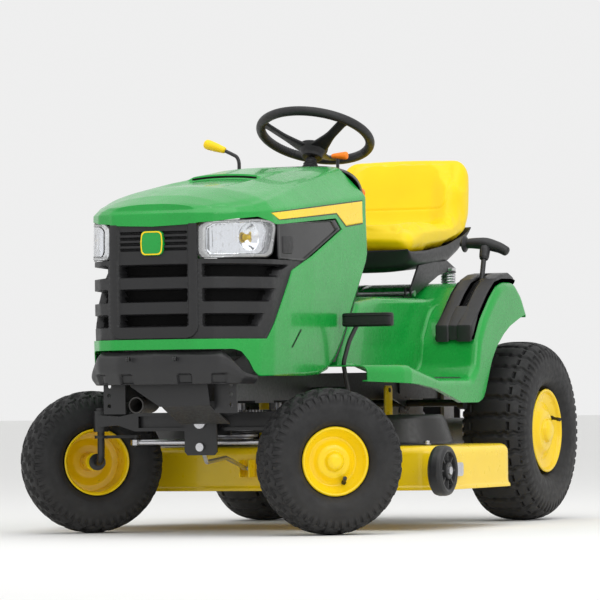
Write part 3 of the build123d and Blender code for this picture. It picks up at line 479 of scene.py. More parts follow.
def walled(thing, thick):
    # gives a sheet a wall of this many metres, on its inner side
    wall = thing.modifiers.new("wall", "SOLIDIFY")
    wall.thickness, wall.offset = thick, -1


def smoothStep(value, low, high):
    t = np.clip((value - low) / (high - low), 0, 1)
    return t * t * (3 - 2 * t)


# ---- stage, camera and light
view = {"from": (4958.08, -10735.17, 351.86), "turn": 23.61, "tilt": -1.23, "roll": -0.67, "lens": 272.4,
        "floor": (0.83, 0.83, 0.82), "sky": 0.86, "key": 90.0, "fill": 20.0, "back": 80.0}


def makeStage():
    # a pale floor that bends up far behind, kept plain
    across, y = np.linspace(-60, 60, 3), np.linspace(-60, 60, 3)
    gx, gy = np.meshgrid(across, y, indexing="ij")
    mesh = bpy.data.meshes.new("stage_floor")
    points = np.stack([gx, gy, gx * 0], -1).reshape(-1, 3)
    mesh.from_pydata(points.tolist(), [], gridFaces(3, 3).tolist())
    pale = bpy.data.materials.new("paleFloor")
    pale.use_nodes = True
    shader = pale.node_tree.nodes["Principled BSDF"]
    shader.inputs["Base Color"].default_value = (*view["floor"], 1)
    shader.inputs["Roughness"].default_value = 0.85
    mesh.materials.append(pale)
    floor = bpy.data.objects.new("stage_floor", mesh)
    bpy.context.scene.collection.objects.link(floor)
    if floor.data.polygons[0].normal.z < 0:
        floor.data.flip_normals()
    world = bpy.data.worlds.new("studio")
    bpy.context.scene.world = world
    world.use_nodes = True
    world.node_tree.nodes["Background"].inputs[0].default_value = (1.0, 1.0, 1.0, 1)
    world.node_tree.nodes["Background"].inputs[1].default_value = view["sky"]


def makeCamera():
    turn, tilt, roll = (radians(view[k]) for k in ("turn", "tilt", "roll"))
    back = np.array([sin(turn) * cos(tilt), -cos(turn) * cos(tilt), sin(tilt)])
    right = np.cross([0, 0, 1], back)
    right /= np.linalg.norm(right)
    up = np.cross(back, right)
    right, up = right * cos(roll) + up * sin(roll), up * cos(roll) - right * sin(roll)
    lens = bpy.data.cameras.new("camera")
    lens.lens, lens.sensor_width = view["lens"], 36.0
    lens.clip_end = 200
    eye = bpy.data.objects.new("camera", lens)
    place = Matrix.Identity(4)
    for k, column in enumerate((right, up, back, np.array(view["from"]) / 1000 + home)):
        for row in range(3):
            place[row][k] = column[row]
    eye.matrix_world = place
    bpy.context.scene.collection.objects.link(eye)
    bpy.context.scene.camera = eye


def makeLight(name, where, size, power, aim=(0.0, 0.0, 0.5)):
    lamp = bpy.data.lights.new(name, "AREA")
    lamp.shape, lamp.size, lamp.size_y, lamp.energy = "RECTANGLE", size[0], size[1], power
    thing = bpy.data.objects.new(name, lamp)
    thing.location = where
    thing.rotation_euler = (Vector(where) - Vector(aim)).to_track_quat("Z", "Y").to_euler()
    bpy.context.scene.collection.objects.link(thing)


bpy.context.scene.view_settings.view_transform = "Standard"
makeStage()
makeCamera()
makeLight("overhead", (1.0, -1.0, 4.6), (5.0, 5.0), view["key"])
makeLight("left_fill", (-4.5, -3.2, 2.6), (3.0, 3.0), view["fill"], (0, -0.2, 0.5))
makeLight("right_key", (5.2, -3.2, 3.4), (3.5, 3.0), view["back"], (0, 0, 0.5))
print("stage made")


# ---- tyres: a rounded section carried round the axle, raised in blocks on the tread
tyreSizes = {
    "front": {"width": 150.0, "bead": 75.0, "blocks": 26, "rows": 4, "depth": 7.0, "around": 832,
              "across": 96, "treadHalf": 0.80},
    "rear": {"width": 198.0, "bead": 103.0, "blocks": 30, "rows": 6, "depth": 8.0, "around": 900,
             "across": 96, "treadHalf": 0.84},
}


def tyre(name, node, jointName, body, kind):
    # section: |x/a|^2.7 + |r/b|^2.7 = 1. Blocks: rows of notched bricks, each row shifted by half a block, and
    # grooves that open out over the shoulder
    size = tyreSizes[kind]
    centre, axis = joint(jointName)
    low, high = box(node)
    radius = (high[2] - low[2]) / 2
    width, bead = size["width"], size["bead"]
    middle = (radius + bead) / 2
    turn = np.linspace(0, 2 * pi, size["around"], endpoint=False)[:, None]
    sweepRound = np.radians(np.linspace(-76, 256, size["across"]))[None, :]
    c, s = np.cos(sweepRound), np.sin(sweepRound)
    power = 2.0 / 2.7
    x = powered(c, power)
    rise = powered(s, power)
    tread = size["depth"] * 1.05
    plainRadius = middle + (radius - tread - middle) * rise
    v = x / size["treadHalf"]
    onTread = (rise > 0.0) * (np.abs(v) < 1.0)
    blocks, rows = size["blocks"], size["rows"]
    wave = turn * blocks / (2 * pi)
    row = np.floor((v + 1) / 2 * rows)
    inRow = (v + 1) / 2 * rows - row
    if kind == "front":
        # bricks notched like arrow heads
        skew = 0.30 * np.abs(inRow - 0.5) * 2
        across = np.mod(wave + skew + 0.5 * np.mod(row, 2), 1.0)
        block = smoothStep(across, 0.0, 0.10) * (1 - smoothStep(across, 0.74, 0.86))
        notch = (np.abs(inRow - 0.5) < 0.16) * (across > 0.42) * (across < 0.80)
        edge = smoothStep(inRow, 0.03, 0.12) * (1 - smoothStep(inRow, 0.88, 0.97))
        raised = block * (1 - notch) * np.maximum(edge, (across < 0.35) * 0.8)
    else:
        # waved ribs across the tread with short cuts in them
        bend = 0.16 * np.abs(inRow - 0.5) * 2
        across = np.mod(wave + bend, 1.0)
        block = smoothStep(across, 0.0, 0.12) * (1 - smoothStep(across, 0.78, 0.90))
        cut = (np.minimum(inRow, 1 - inRow) < 0.10) * (across > 0.22) * (across < 0.66)
        raised = block * (1 - cut)
    raised = raised * onTread
    # shoulder lugs run down the side of the tyre and fade out
    lug = np.mod(wave * 2 + 0.25, 1.0)
    lugShape = smoothStep(lug, 0.10, 0.24) * (1 - smoothStep(lug, 0.70, 0.84))
    shoulder = (rise > 0.30) * (np.abs(v) >= 1.0) * smoothStep(rise, 0.34, 0.55)
    height = tread * np.where(onTread, raised, lugShape * shoulder)
    ring = 1.6 * np.exp(-((rise - 0.12) / 0.035) ** 2) + 1.2 * np.exp(-((rise + 0.52) / 0.03) ** 2)
    outX = x * width / 2 * 0.965
    lift = height * (0.55 + 0.45 * np.abs(s)) + ring
    px = outX + lift * c * 0.55
    pr = plainRadius + height * np.abs(s)
    px = np.clip(px, -width / 2, width / 2)
    pr = np.minimum(pr, radius)
    side3 = np.cross(axis, [0, 0, 1.0])
    side3 /= np.linalg.norm(side3)
    up3 = np.cross(side3, axis)
    spoke = np.cos(turn)[..., None] * side3 + np.sin(turn)[..., None] * up3
    points = centre + px[..., None] * axis + pr[..., None] * spoke
    thing = surface(name, points, "tyre", body, closeRows=True, replaces=[node], outward=None)
    recalculated(thing)
    return thing


def recalculated(thing):
    # makes the faces of a sheet agree and look away from its own middle
    work = bmesh.new()
    work.from_mesh(thing.data)
    bmesh.ops.recalc_face_normals(work, faces=work.faces)
    work.to_mesh(thing.data)
    work.free()


rimSizes = {
    "front": {"bead": 84.0, "lip": 89.0, "face": 56.0, "dish": 30.0, "hub": 26.0, "valve": 62.0},
    "rear": {"bead": 112.0, "lip": 117.0, "face": 82.0, "dish": 20.0, "hub": 34.0, "valve": 84.0},
}


def rim(name, node, jointName, body, kind, side):
    # flange, barrel and dished disc with a domed hub, as one turned wall; side is +1 where outwards is along the axis
    size = rimSizes[kind]
    centre, axis = joint(jointName)
    axis = axis * side
    lip, face, dish, hub = size["lip"], size["face"], size["dish"], size["hub"]
    outer = along([(face - 3, lip), (face, lip - 2), (face, lip - 6), (face - 5, lip - 9),
                   (face - 12, lip - 12),
                   (face - dish, lip * 0.70), (face - dish + 5, lip * 0.58), (face - dish + 15, lip * 0.47),
                   (face - dish + 17, hub + 6), (face - dish + 16, hub), (face - dish + 27, hub - 5),
                   (face - dish + 32, hub * 0.5), (face - dish + 33, 0.01)], 70, 5.0)
    blocks = [turned(outer, 96, centre, axis)]
    back = along([(face - 3, lip), (face - 8, lip - 4), (face - 14, size["bead"] - 2),
                  (-face + 14, size["bead"] - 2),
                  (-face + 8, lip - 4), (-face, lip), (-face + 1, lip - 5), (-face + 12, size["bead"] - 5),
                  (face - dish - 4, size["bead"] - 6), (face - dish - 3, lip * 0.70),
                  (face - dish + 8, lip * 0.50),
                  (face - dish + 8, 24), (-30, 24), (-30, 11)], 90, 2.0)
    blocks.append(turned(back, 96, centre, axis))
    thing = joined(name, blocks, "yellow", body, replaces=[node])
    recalculated(thing)
    side3 = np.cross(axis, [0, 0, 1.0])
    side3 /= np.linalg.norm(side3)
    up3 = np.cross(side3, axis)
    at = radians(-118 if kind == "front" else 155)
    way = cos(at) * side3 * side + sin(at) * up3
    foot = centre + axis * (face - dish + 2) + way * size["valve"]
    stem = turned([(0, 6.0), (5, 6.2), (9, 4.6), (22, 4.2), (24, 5.2), (34, 5.2), (35, 4.4), (35, 0.01)],
                  20, foot,
                  axis * 0.8 - way * 0.35)
    joined(name + "_valve", [stem], "black", body)
    return thing


for side, word in ((1, "left"), (-1, "right")):
    tyre(f"tyre_front_{word}", f"front_tyre_{word}", f"{word}_front_spin", f"{word}_front_wheel", "front")
    tyre(f"tyre_rear_{word}", f"rear_tyre_{word}", f"{word}_rear_spin", f"{word}_rear_wheel", "rear")
    rim(f"rim_front_{word}", f"front_rim_{word}", f"{word}_front_spin", f"{word}_front_wheel", "front",
        side)
    rim(f"rim_rear_{word}", f"rear_rim_{word}", f"{word}_rear_spin", f"{word}_rear_wheel", "rear", side)
print("wheels made")


# ---- hood: columns that start at the lower edge, climb the wall, fold over a bevel and run to the spine
hoodRear = box("hood_shell")[1][1]
hood = {
    "plan": [(0, -329), (118, -325), (165, -300), (204, -252), (236, -186), (251, -130),
             (255, -40), (254, 120), (248, 320), (242, hoodRear)],
    "foot": [(-400, 477), (-262, 477), (-240, 470), (-218, 446), (-203, 420), (-188, 408), (60, 408),
             (150, 412), (210, 424),
             (262, 452), (312, 497), (383, 585), (440, 650), (497, 715), (508, 738), (600, 760)],
    "lowerEdge": [(-400, 503), (-158, 503), (-25, 680), (106, 719), (328, 796), (600, 796)],
    "upperEdge": [(-400, 790), (-329, 790), (-322, 798), (-250, 808), (-186, 814), (-108, 796), (288, 824),
                  (328, 796), (600, 796)],
    "fold": [(-400, 822), (-330, 822), (-200, 825), (-136, 831), (508, 891)],
    "crown": [(-332, 834), (-316, 848), (-250, 872), (-139, 899), (43, 927), (294, 958), (456, 973),
              (508, 976)],
    "bevel": [(-332, 9, 10), (-250, 14, 14), (-130, 22, 26), (150, 52, 50), (508, 78, 80)],
    "openingEnd": 328.0,
    "scoopRise": 5.0, "dishDepth": 9.0, "scoopHalf": 96.0, "scoopFront": 118.0,
}


def level(table, y, column=1):
    table = np.asarray(table, float)
    return np.interp(y, table[:, 0], table[:, column])


half = along(hood["plan"], 190, 16.0)
stops = np.array([hood["openingEnd"]])
half = np.insert(half, np.searchsorted(half[:, 1], stops),
                 np.stack([np.interp(stops, half[:, 1], half[:, 0]), stops], 1), axis=0)
outline = np.concatenate([half[::-1], (half * [-1, 1])[1:]])
arcLength = np.r_[0, np.cumsum(np.linalg.norm(np.diff(outline, axis=0), axis=1))]
arcAt = arcLength[len(half) - 1] - arcLength      # distance from the nose, plus towards the machine's left
tangent = np.gradient(outline, axis=0)
tangent /= np.linalg.norm(tangent, axis=1, keepdims=True)
inwardWay = np.stack([tangent[:, 1], -tangent[:, 0]], 1)
inwardWay *= np.sign((inwardWay * (np.array([0, 150]) - outline)).sum(1))[:, None]
halfArc = np.r_[0, np.cumsum(np.linalg.norm(np.diff(half, axis=0), axis=1))]


def arcOf(y):
    # distance along the hood's outline from the nose to a place this far back
    return np.interp(y, half[:, 1], halfArc)


def onWall(arc, z, inward=0.0):
    # a point of the hood's wall from its distance along the outline from the nose, its height and a way inwards
    arc, z, inward = np.broadcast_arrays(np.asarray(arc, float), np.asarray(z, float),
                                         np.asarray(inward, float))
    order = slice(None, None, -1)
    x, y, nx, ny = (np.interp(arc, arcAt[order], column[order])
                    for column in (outline[:, 0], outline[:, 1], inwardWay[:, 0], inwardWay[:, 1]))
    swell = 4.0 * np.sin(np.clip((z - 408) / 440, 0, 1) * pi) - 3.0
    return np.stack([x + nx * (inward - swell), y + ny * (inward - swell), z], -1)


def hoodTop(x, y):
    # height of the top skin over a point: a crown falling off as |x|^2.3, dished ahead of the air scoop
    bevelIn, bevelUp = level(hood["bevel"], y, 1), level(hood["bevel"], y, 2)
    widest = np.interp(y, half[:, 1], half[:, 0]) - bevelIn
    edge = level(hood["fold"], y) + bevelUp
    share = np.clip(np.abs(x) / np.maximum(widest, 1), 0, 1)
    z = edge + (level(hood["crown"], y) - edge) * (1 - share ** 2.3)
    across = 1 - smoothStep(np.abs(x), hood["scoopHalf"] - 6, hood["scoopHalf"] + 10)
    raised = hood["scoopRise"] * smoothStep(y, hood["scoopFront"],
                                            hood["scoopFront"] + 5) * (1 - smoothStep(y, 330, 480))
    dish = hood["dishDepth"] * smoothStep(y, -190,
                                          70) * (1 - smoothStep(y, hood["scoopFront"],
                                                                hood["scoopFront"] + 5))
    return z + across * (raised - dish)


def hoodColumns(select, zStart, topEnd):
    # wall rows, bevel rows and top rows for the chosen columns; topEnd is the share of the way to the spine
    nx, ny = inwardWay[select, 0], inwardWay[select, 1]
    y, arc = outline[select, 1], arcAt[select]
    fold = level(hood["fold"], y)
    near = np.minimum(22.0, 0.7 * (fold - zStart))
    z = np.concatenate([zStart[:, None] + (fold - near - zStart)[:, None] * np.linspace(0, 1, 34)[None,
            :-1],
                        fold[:, None] - near[:, None] * np.linspace(1, 0, 12)[None]], 1)
    wall = onWall(arc[:, None], z)
    bevelIn, bevelUp = level(hood["bevel"], y, 1), level(hood["bevel"], y, 2)
    t = np.linspace(0, 1, 18)[1:]
    bevel = wall[:, -1][:, None] + np.stack([(nx * bevelIn)[:, None] * t, (ny * bevelIn)[:, None] * t,
                                             bevelUp[:, None] * t], -1)
    edge = bevel[:, -1]
    q = np.concatenate([np.linspace(0, 0.12, 8)[1:], np.linspace(0.12, 1, 56)[1:]])[None] * topEnd[:, None]
    topX = edge[:, :1] * (1 - q)
    topY = np.broadcast_to(edge[:, 1:2], topX.shape)
    blend = smoothStep(q, 0, 0.10)
    topZ = edge[:, 2:3] * (1 - blend) + hoodTop(topX, topY) * blend
    return softened(np.concatenate([wall, bevel, np.stack([topX, topY, topZ], -1)], 1), 3)


def makeHood():
    ys = outline[:, 1]
    foot, low, high = (level(hood[key], ys) for key in ("foot", "lowerEdge", "upperEdge"))
    lower = onWall(arcAt[:, None], foot[:, None] + (low - foot)[:, None] * np.linspace(0, 1, 30))
    upper = hoodColumns(np.arange(len(ys)), high, np.ones(len(ys)))
    blocks = [(part, gridFaces(part.shape[0], part.shape[1])) for part in (lower, upper)]
    skin = joined("hood_skin", blocks, "green", "hood", replaces=["hood_shell"])
    faceTowards(skin, (0, 150, 600, 1))
    walled(skin, 0.0035)
    # the mouth of the air scoop, across the top: a near-black sheet of painted shade where the opening is
    x = np.linspace(-hood["scoopHalf"] + 3, hood["scoopHalf"] - 3, 60)[:, None]
    y = np.array([hood["scoopFront"] - 7, hood["scoopFront"] + 0.5, hood["scoopFront"] + 3.2])[None, :]
    z = hoodTop(x, y * 0 + hood["scoopFront"] - 7) + np.array([0.6, 1.0, 11.0])[None, :]
    mouth = surface("hood_scoop_mouth", gridOf(x, y, z), "void", "hood")
    faceTowards(mouth, (0, -0.7, 0.7))


makeHood()


def starGrid(corners, centre, rings, around, soften=0.0):
    # a flat shape seen from its centre: rings of points at equal shares of the way out to a polygon
    closed = np.concatenate([corners, corners[:1]])
    edge = along(closed, around + 1, 0.0)[:-1]
    if soften:
        reach = max(1, int(soften))
        kernel = np.hanning(2 * reach + 3)[1:-1]
        kernel /= kernel.sum()
        wrap = np.concatenate([edge[-reach:], edge, edge[:reach]])
        edge = np.stack([np.convolve(wrap[:, k], kernel, "valid") for k in range(2)], 1)
    share = np.asarray(rings, float)[:, None, None]
    return np.asarray(centre) + share * (edge - centre)[None], gridFaces(len(rings), around, False, True)


def wallPanel(name, corners, centre, depths, paint, sign, around=220, soften=3.0, body="hood", replaces=(),
              thick=0.0):
    # a panel on the hood's wall: corners in (y, z), and how far in it lies at each share of the way out
    corners = np.array([(arcOf(y), z) for y, z in corners], float)
    centre = np.array([arcOf(centre[0]), centre[1]])
    rings = [share for share, depth in depths]
    flat, faces = starGrid(corners, centre, rings, around, soften)
    inward = np.array([depth for share, depth in depths])[:, None] * np.ones(around)
    points = onWall(flat[..., 0] * sign, flat[..., 1], inward)
    thing = piece(name, points, faces, paint, body, replaces=replaces)
    faceTowards(thing, (sign, -0.6, 0))
    if thick:
        walled(thing, thick / 1000)
    return thing


grille = {"low": 504.0, "middle": 706.0, "high": 796.0, "slots": [(534, 568), (597, 632), (660, 694)],
          "bezel": (97, 127), "bezelFoot": (490, 540),
          "louvres": [(728, 736), (742, 750), (756, 764), (770, 778)], "deep": 34.0}


def ridge(value, low, high, ramp):
    # 1 between low and high, sloping to 0 over the ramp on both sides
    return np.clip((value - low) / ramp, 0, 1) * np.clip((high - value) / ramp, 0, 1)


def grilleDepth(arc, z, edge):
    # how far in the front lies: thick bevelled bars with slots between, and a proud frame round the middle
    a = np.abs(arc)
    depth = 5.0 + 0 * a
    for low, high in grille["slots"]:
        slot = ridge(z, low, high, 5.0)
        depth = depth + grille["deep"] * slot * ridge(a, -20, 95, 6.0)
        depth = depth + grille["deep"] * slot * np.clip((a - 136) / 12, 0,
                                                        1) * np.clip((edge - 52 - a) / 22, 0, 1)
    for low, high in grille["louvres"]:
        depth = depth + 9.0 * ridge(z, low, high, 3.0) * ridge(a, -20, 95, 3.0)
    corner = np.hypot(np.maximum(a - 92, 0), np.maximum(540 - z, 0))
    frame = np.maximum(ridge(a, *grille["bezel"], 4.0), ridge(z, *grille["bezelFoot"], 4.0) * (a < 112))
    proud = np.clip(frame, 0, 1) * (corner < 34)
    edgeLip = 2.5 * np.clip((a - (edge - 8)) / 6, 0, 1)
    return depth - 5.5 * proud - edgeLip


def makeGrille():
    blocks, shadowed = [], []
    for low, high, rows, upper in ((grille["low"], grille["middle"], 190, False),
                                   (grille["middle"], grille["high"], 92, True)):
        z = np.linspace(low, high, rows)[:, None]
        lowerEdge = np.array(hood["lowerEdge"], float)
        edgeY = np.interp(z, lowerEdge[1:, 1], lowerEdge[1:, 0])
        edge = np.full_like(z, 126.0) if upper else arcOf(edgeY) - 1.0
        across = np.linspace(-1, 1, 151 if upper else 301)[None, :]
        arc = across * edge
        depth = grilleDepth(arc, z, edge if not upper else np.full_like(z, 1e4))
        points = onWall(arc, z + 0 * arc, depth)
        faces = gridFaces(points.shape[0], points.shape[1])
        blocks.append((points, faces))
        shadowed.append(depth.ravel()[faces].min(1) > 24)
    thing = joined("grille_front", blocks, "black", "hood", replaces=["grille"])
    faceTowards(thing, (0, -1, 0))
    # faces deeper than 24 mm take a second, near-black finish: painted shade for the darkness inside the slots
    thing.data.materials.append(paints["void"])
    if len(thing.data.polygons) == sum(len(d) for d in shadowed):
        thing.data.polygons.foreach_set("material_index", np.concatenate(shadowed).astype(np.int32))
    badge, faces = starGrid(np.array([(-25, -22), (-19, -28), (19, -28), (25, -22), (27, 0), (25, 22),
                                      (19, 28),
                                      (-19, 28), (-25, 22), (-27, 0)], float), (0, 0),
                            [0, 0.5, 0.84, 0.86, 0.96, 1.0, 1.0], 96, 3)
    lift = np.array([0, 0, 0, -1.2, -1.2, 0.6, 12])[:, None] * np.ones(96)
    points = onWall(badge[..., 0] * 1.2, 748 + badge[..., 1] * 1.12, lift - 1.0)
    plate = piece("grille_badge", points, faces, "green", "hood")
    faceTowards(plate, (0, -1, 0))
    plate.data.materials.append(paints["yellow"])
    rim = np.zeros(len(faces), np.int32)
    rim[3 * 96:4 * 96] = 1
    if len(plate.data.polygons) == len(faces):
        plate.data.polygons.foreach_set("material_index", rim)


makeGrille()


def makeHeadlight(sign, word):
    # a chamfered lens with a thick clear border, over a silver panel with a bowl and bulb towards the outer end
    rear = arcOf(-107.0)
    corners = np.array([(127, 722), (137, 708), (rear - 48, 712), (rear - 26, 722), (rear - 2, 790),
                        (rear - 14, 806),
                        (rear - 80, 808), (148, 800), (128, 788)], float)
    centre = corners.mean(0)

    def layer(name, rings, depthOf, paint, replaces=(), scale=1.0, around=180):
        flat, faces = starGrid(centre + (corners - centre) * scale, centre, rings, around, 2.0)
        share = np.asarray(rings)[:, None] * np.ones(around)
        points = onWall(flat[..., 0] * sign, flat[..., 1], depthOf(flat, share))
        thing = piece(name, points, faces, paint, "hood", replaces=replaces)
        faceTowards(thing, (sign * 0.6, -1, 0))
        return thing

    layer(f"headlight_housing_{word}", [0, 0.5, 0.9, 1.0, 1.0, 1.03],
          lambda flat, share: np.where(share >= 1.0, 3.0, 44.0), "satin")

    def silver(flat, share):
        bowlAt = centre + np.array([30.0, 0.0])
        r = np.hypot(flat[..., 0] - bowlAt[0], flat[..., 1] - bowlAt[1]) / 36
        bowl = np.clip(1 - r ** 2, 0, 1)
        rib = 0.8 * np.cos((flat[..., 0] - centre[0]) * 0.55) * (flat[..., 0] < centre[0] - 4)
        return 15 + 24 * bowl + rib + 8 * np.clip((centre[0] - 6 - flat[..., 0]) / 60, 0, 1)

    layer(f"headlight_reflector_{word}", np.linspace(0, 1, 60), silver, "chrome", scale=0.90)
    layer(f"headlight_border_{word}", [0.80, 0.83, 0.86, 0.95, 0.99, 1.0],
          lambda flat, share: np.interp(share, [0.80, 0.83, 0.86, 0.95, 0.99, 1.0],
                                        [13, 5, 1.5, 1.0, 3.0, 14.0]), "edge")
    lens = layer(f"headlight_lens_{word}", list(np.linspace(0, 0.86, 14)),
                lambda flat, share: 2.2 + 0.8 * np.cos(flat[..., 0] * 0.2), "lens",
                replaces=["headlights"] if word == "left" else ())
    walled(lens, 0.002)
    at = onWall((centre[0] + 30) * sign, centre[1], 36.0)
    out = onWall((centre[0] + 30) * sign, centre[1], 12.0)
    bulb = along([(0, 9), (6, 9), (7, 7), (13, 7.5), (19, 6), (22, 3), (23, 0.01)], 24, 1.5)
    joined(f"headlight_bulb_{word}", [turned(bulb, 24, at, out - at)], "knob", "hood")


for sign, word in ((1, "left"), (-1, "right")):
    makeHeadlight(sign, word)
    panel = [(-103, 708), (62, 706), (106, 722), (322, 797), (286, 820), (-103, 798)]
    wallPanel(f"side_panel_{word}", panel, (60, 765),
              [(0, 6), (0.3, 6), (0.6, 6), (0.85, 6), (0.885, 6), (0.90, 3), (0.97, 1.5),
              (1.0, 2.5), (1.0, 8)], "gloss", sign, replaces=["side_panels"] if word == "left" else (),
              soften=2.0)
    # a plain raised tab where a marking would be
    wallPanel(f"side_tab_{word}", [(-70, 722), (-8, 722), (4, 745), (-4, 768), (-70, 768)], (-38, 745),
              [(0, 4.2), (0.8, 4.2), (0.92, 4.4), (1.0, 6.2)], "black", sign, around=90, soften=2.0)
    t = np.linspace(0, 1, 150)[:, None]
    v = np.linspace(0, 1, 14)[None, :]
    lowY, highY = -93 + 576 * t, -136 + 618 * t
    lowZ = np.interp(lowY, [-93, 293, 360, 483], [809, 838, 806, 818])
    highZ = np.interp(highY, [-136, 482], [824.5, 876.0])
    stripeY, stripeZ = lowY + (highY - lowY) * v, lowZ + (highZ - lowZ) * v
    stripe = surface(f"side_stripe_{word}", onWall(arcOf(stripeY) * sign, stripeZ, -0.8), "yellow", "hood")
    faceTowards(stripe, (sign, 0, 0))
    walled(stripe, 0.0014)
    edge = surface(f"side_stripe_edge_{word}",
                   onWall(arcOf(stripeY + 3 * (v - 0.5)) * sign,
                          stripeZ + 6.5 * (v - 0.5) * (0.4 + 0.6 * t ** 0.2), -0.3),
                   "satin", "hood")
    faceTowards(edge, (sign, 0, 0))
    # the slim slot low on the skirt: a near-black sheet of painted shade, laid just proud of the wall
    slot = surface(f"skirt_slot_{word}", onWall(arcOf(31 + (-59) * t + (v - 0.5) * 9) * sign,
                                                528 - 47 * t + 0 * v, -0.5), "void", "hood")
    faceTowards(slot, (sign, 0, 0))
print("hood made")


# ---- bumper: a bowed valance with pockets in its lower half
bumper = {"bow": [(232, -196), (226, -207), (216, -246), (172, -293), (104, -322), (0, -331)], "low": 388.5,
          "high": 474.0,
          "pockets": [(62, 104), (150, 190)], "pocketDeep": 9.0}


def makeBumper():
    # columns round the bow; rows go in along the top, over a rounded corner, down the front and under
    bow = along(bumper["bow"], 120, 18.0)
    line = np.concatenate([bow, (bow * [-1, 1])[::-1][1:]])
    way = np.gradient(line, axis=0)
    way /= np.linalg.norm(way, axis=1, keepdims=True)
    normal = np.stack([way[:, 1], -way[:, 0]], 1)
    normal *= np.sign((normal * (np.array([0, 0]) - line)).sum(1))[:, None]
    profile = along([(40, 474), (12, 474), (1, 461), (0, 440), (2, 422), (9, 400), (12, 389), (24, 388.5)],
                    80, 7.0)
    # the top edge drops away round the corners, and the lower edge stays level
    ends = smoothStep(np.abs(line[:, 0]), 172, 234)[:, None]
    z = profile[None, :, 1] + 0 * line[:, :1]
    z = z - ends * 62 * np.clip((z - 388) / 86, 0, 1)
    a = np.abs(line[:, :1])
    pocket = sum(ridge(a, low, high, 5.0) for low, high in bumper["pockets"]) * smoothStep(-z, -418, -411)
    inward = profile[None, :, 0] + bumper["pocketDeep"] * np.clip(pocket, 0, 1) * (profile[None, :, 0] < 14)
    x = line[:, :1] + normal[:, :1] * inward
    y = line[:, 1:] + normal[:, 1:] * inward
    skin = surface("bumper_skin", np.stack([x, y, z], -1), "satin", "chassis", thick=2.5,
                   replaces=["front_bumper"])
    faceTowards(skin, (0, -1, 0.1))
    pins = []
    for sign in (1, -1):
        for x0 in (61, 66):
            pins.append(turned([(0, 0.01), (0, 5.6), (2, 6.4), (4, 5.6), (4, 0.01)], 24,
                               (sign * x0, -337, 454), (sign, 0, 0)))
    joined("bumper_hinge_ears", pins, "steel", "chassis")


makeBumper()


# ---- fender: columns along the foot well and wheel arch; rows run from the middle over the tunnel to the skirt
fender = {
    "well": [(238, 435), (383, 435), (592, 399), (819, 399), (856, 430), (873, 502), (918, 562), (990, 622),
             (1040, 655), (1090, 667), (1160, 668), (1210, 634), (1249, 585)],
    "arch": [(236, 392), (427, 384), (560, 371), (657, 351), (741, 333), (860, 333), (894, 342), (915, 362),
             (940, 405),
             (968, 450), (1005, 487), (1060, 522), (1110, 545), (1180, 566), (1249, 583)],
    "deck": [(236, 420), (300, 425), (335, 500), (400, 560), (450, 605), (600, 622), (985, 622),
             (1100, 650), (1330, 650),
             (1358, 632), (1370, 580)],
    "tunnel": 240.0, "corner": 20.0, "fold": 22.0,
}


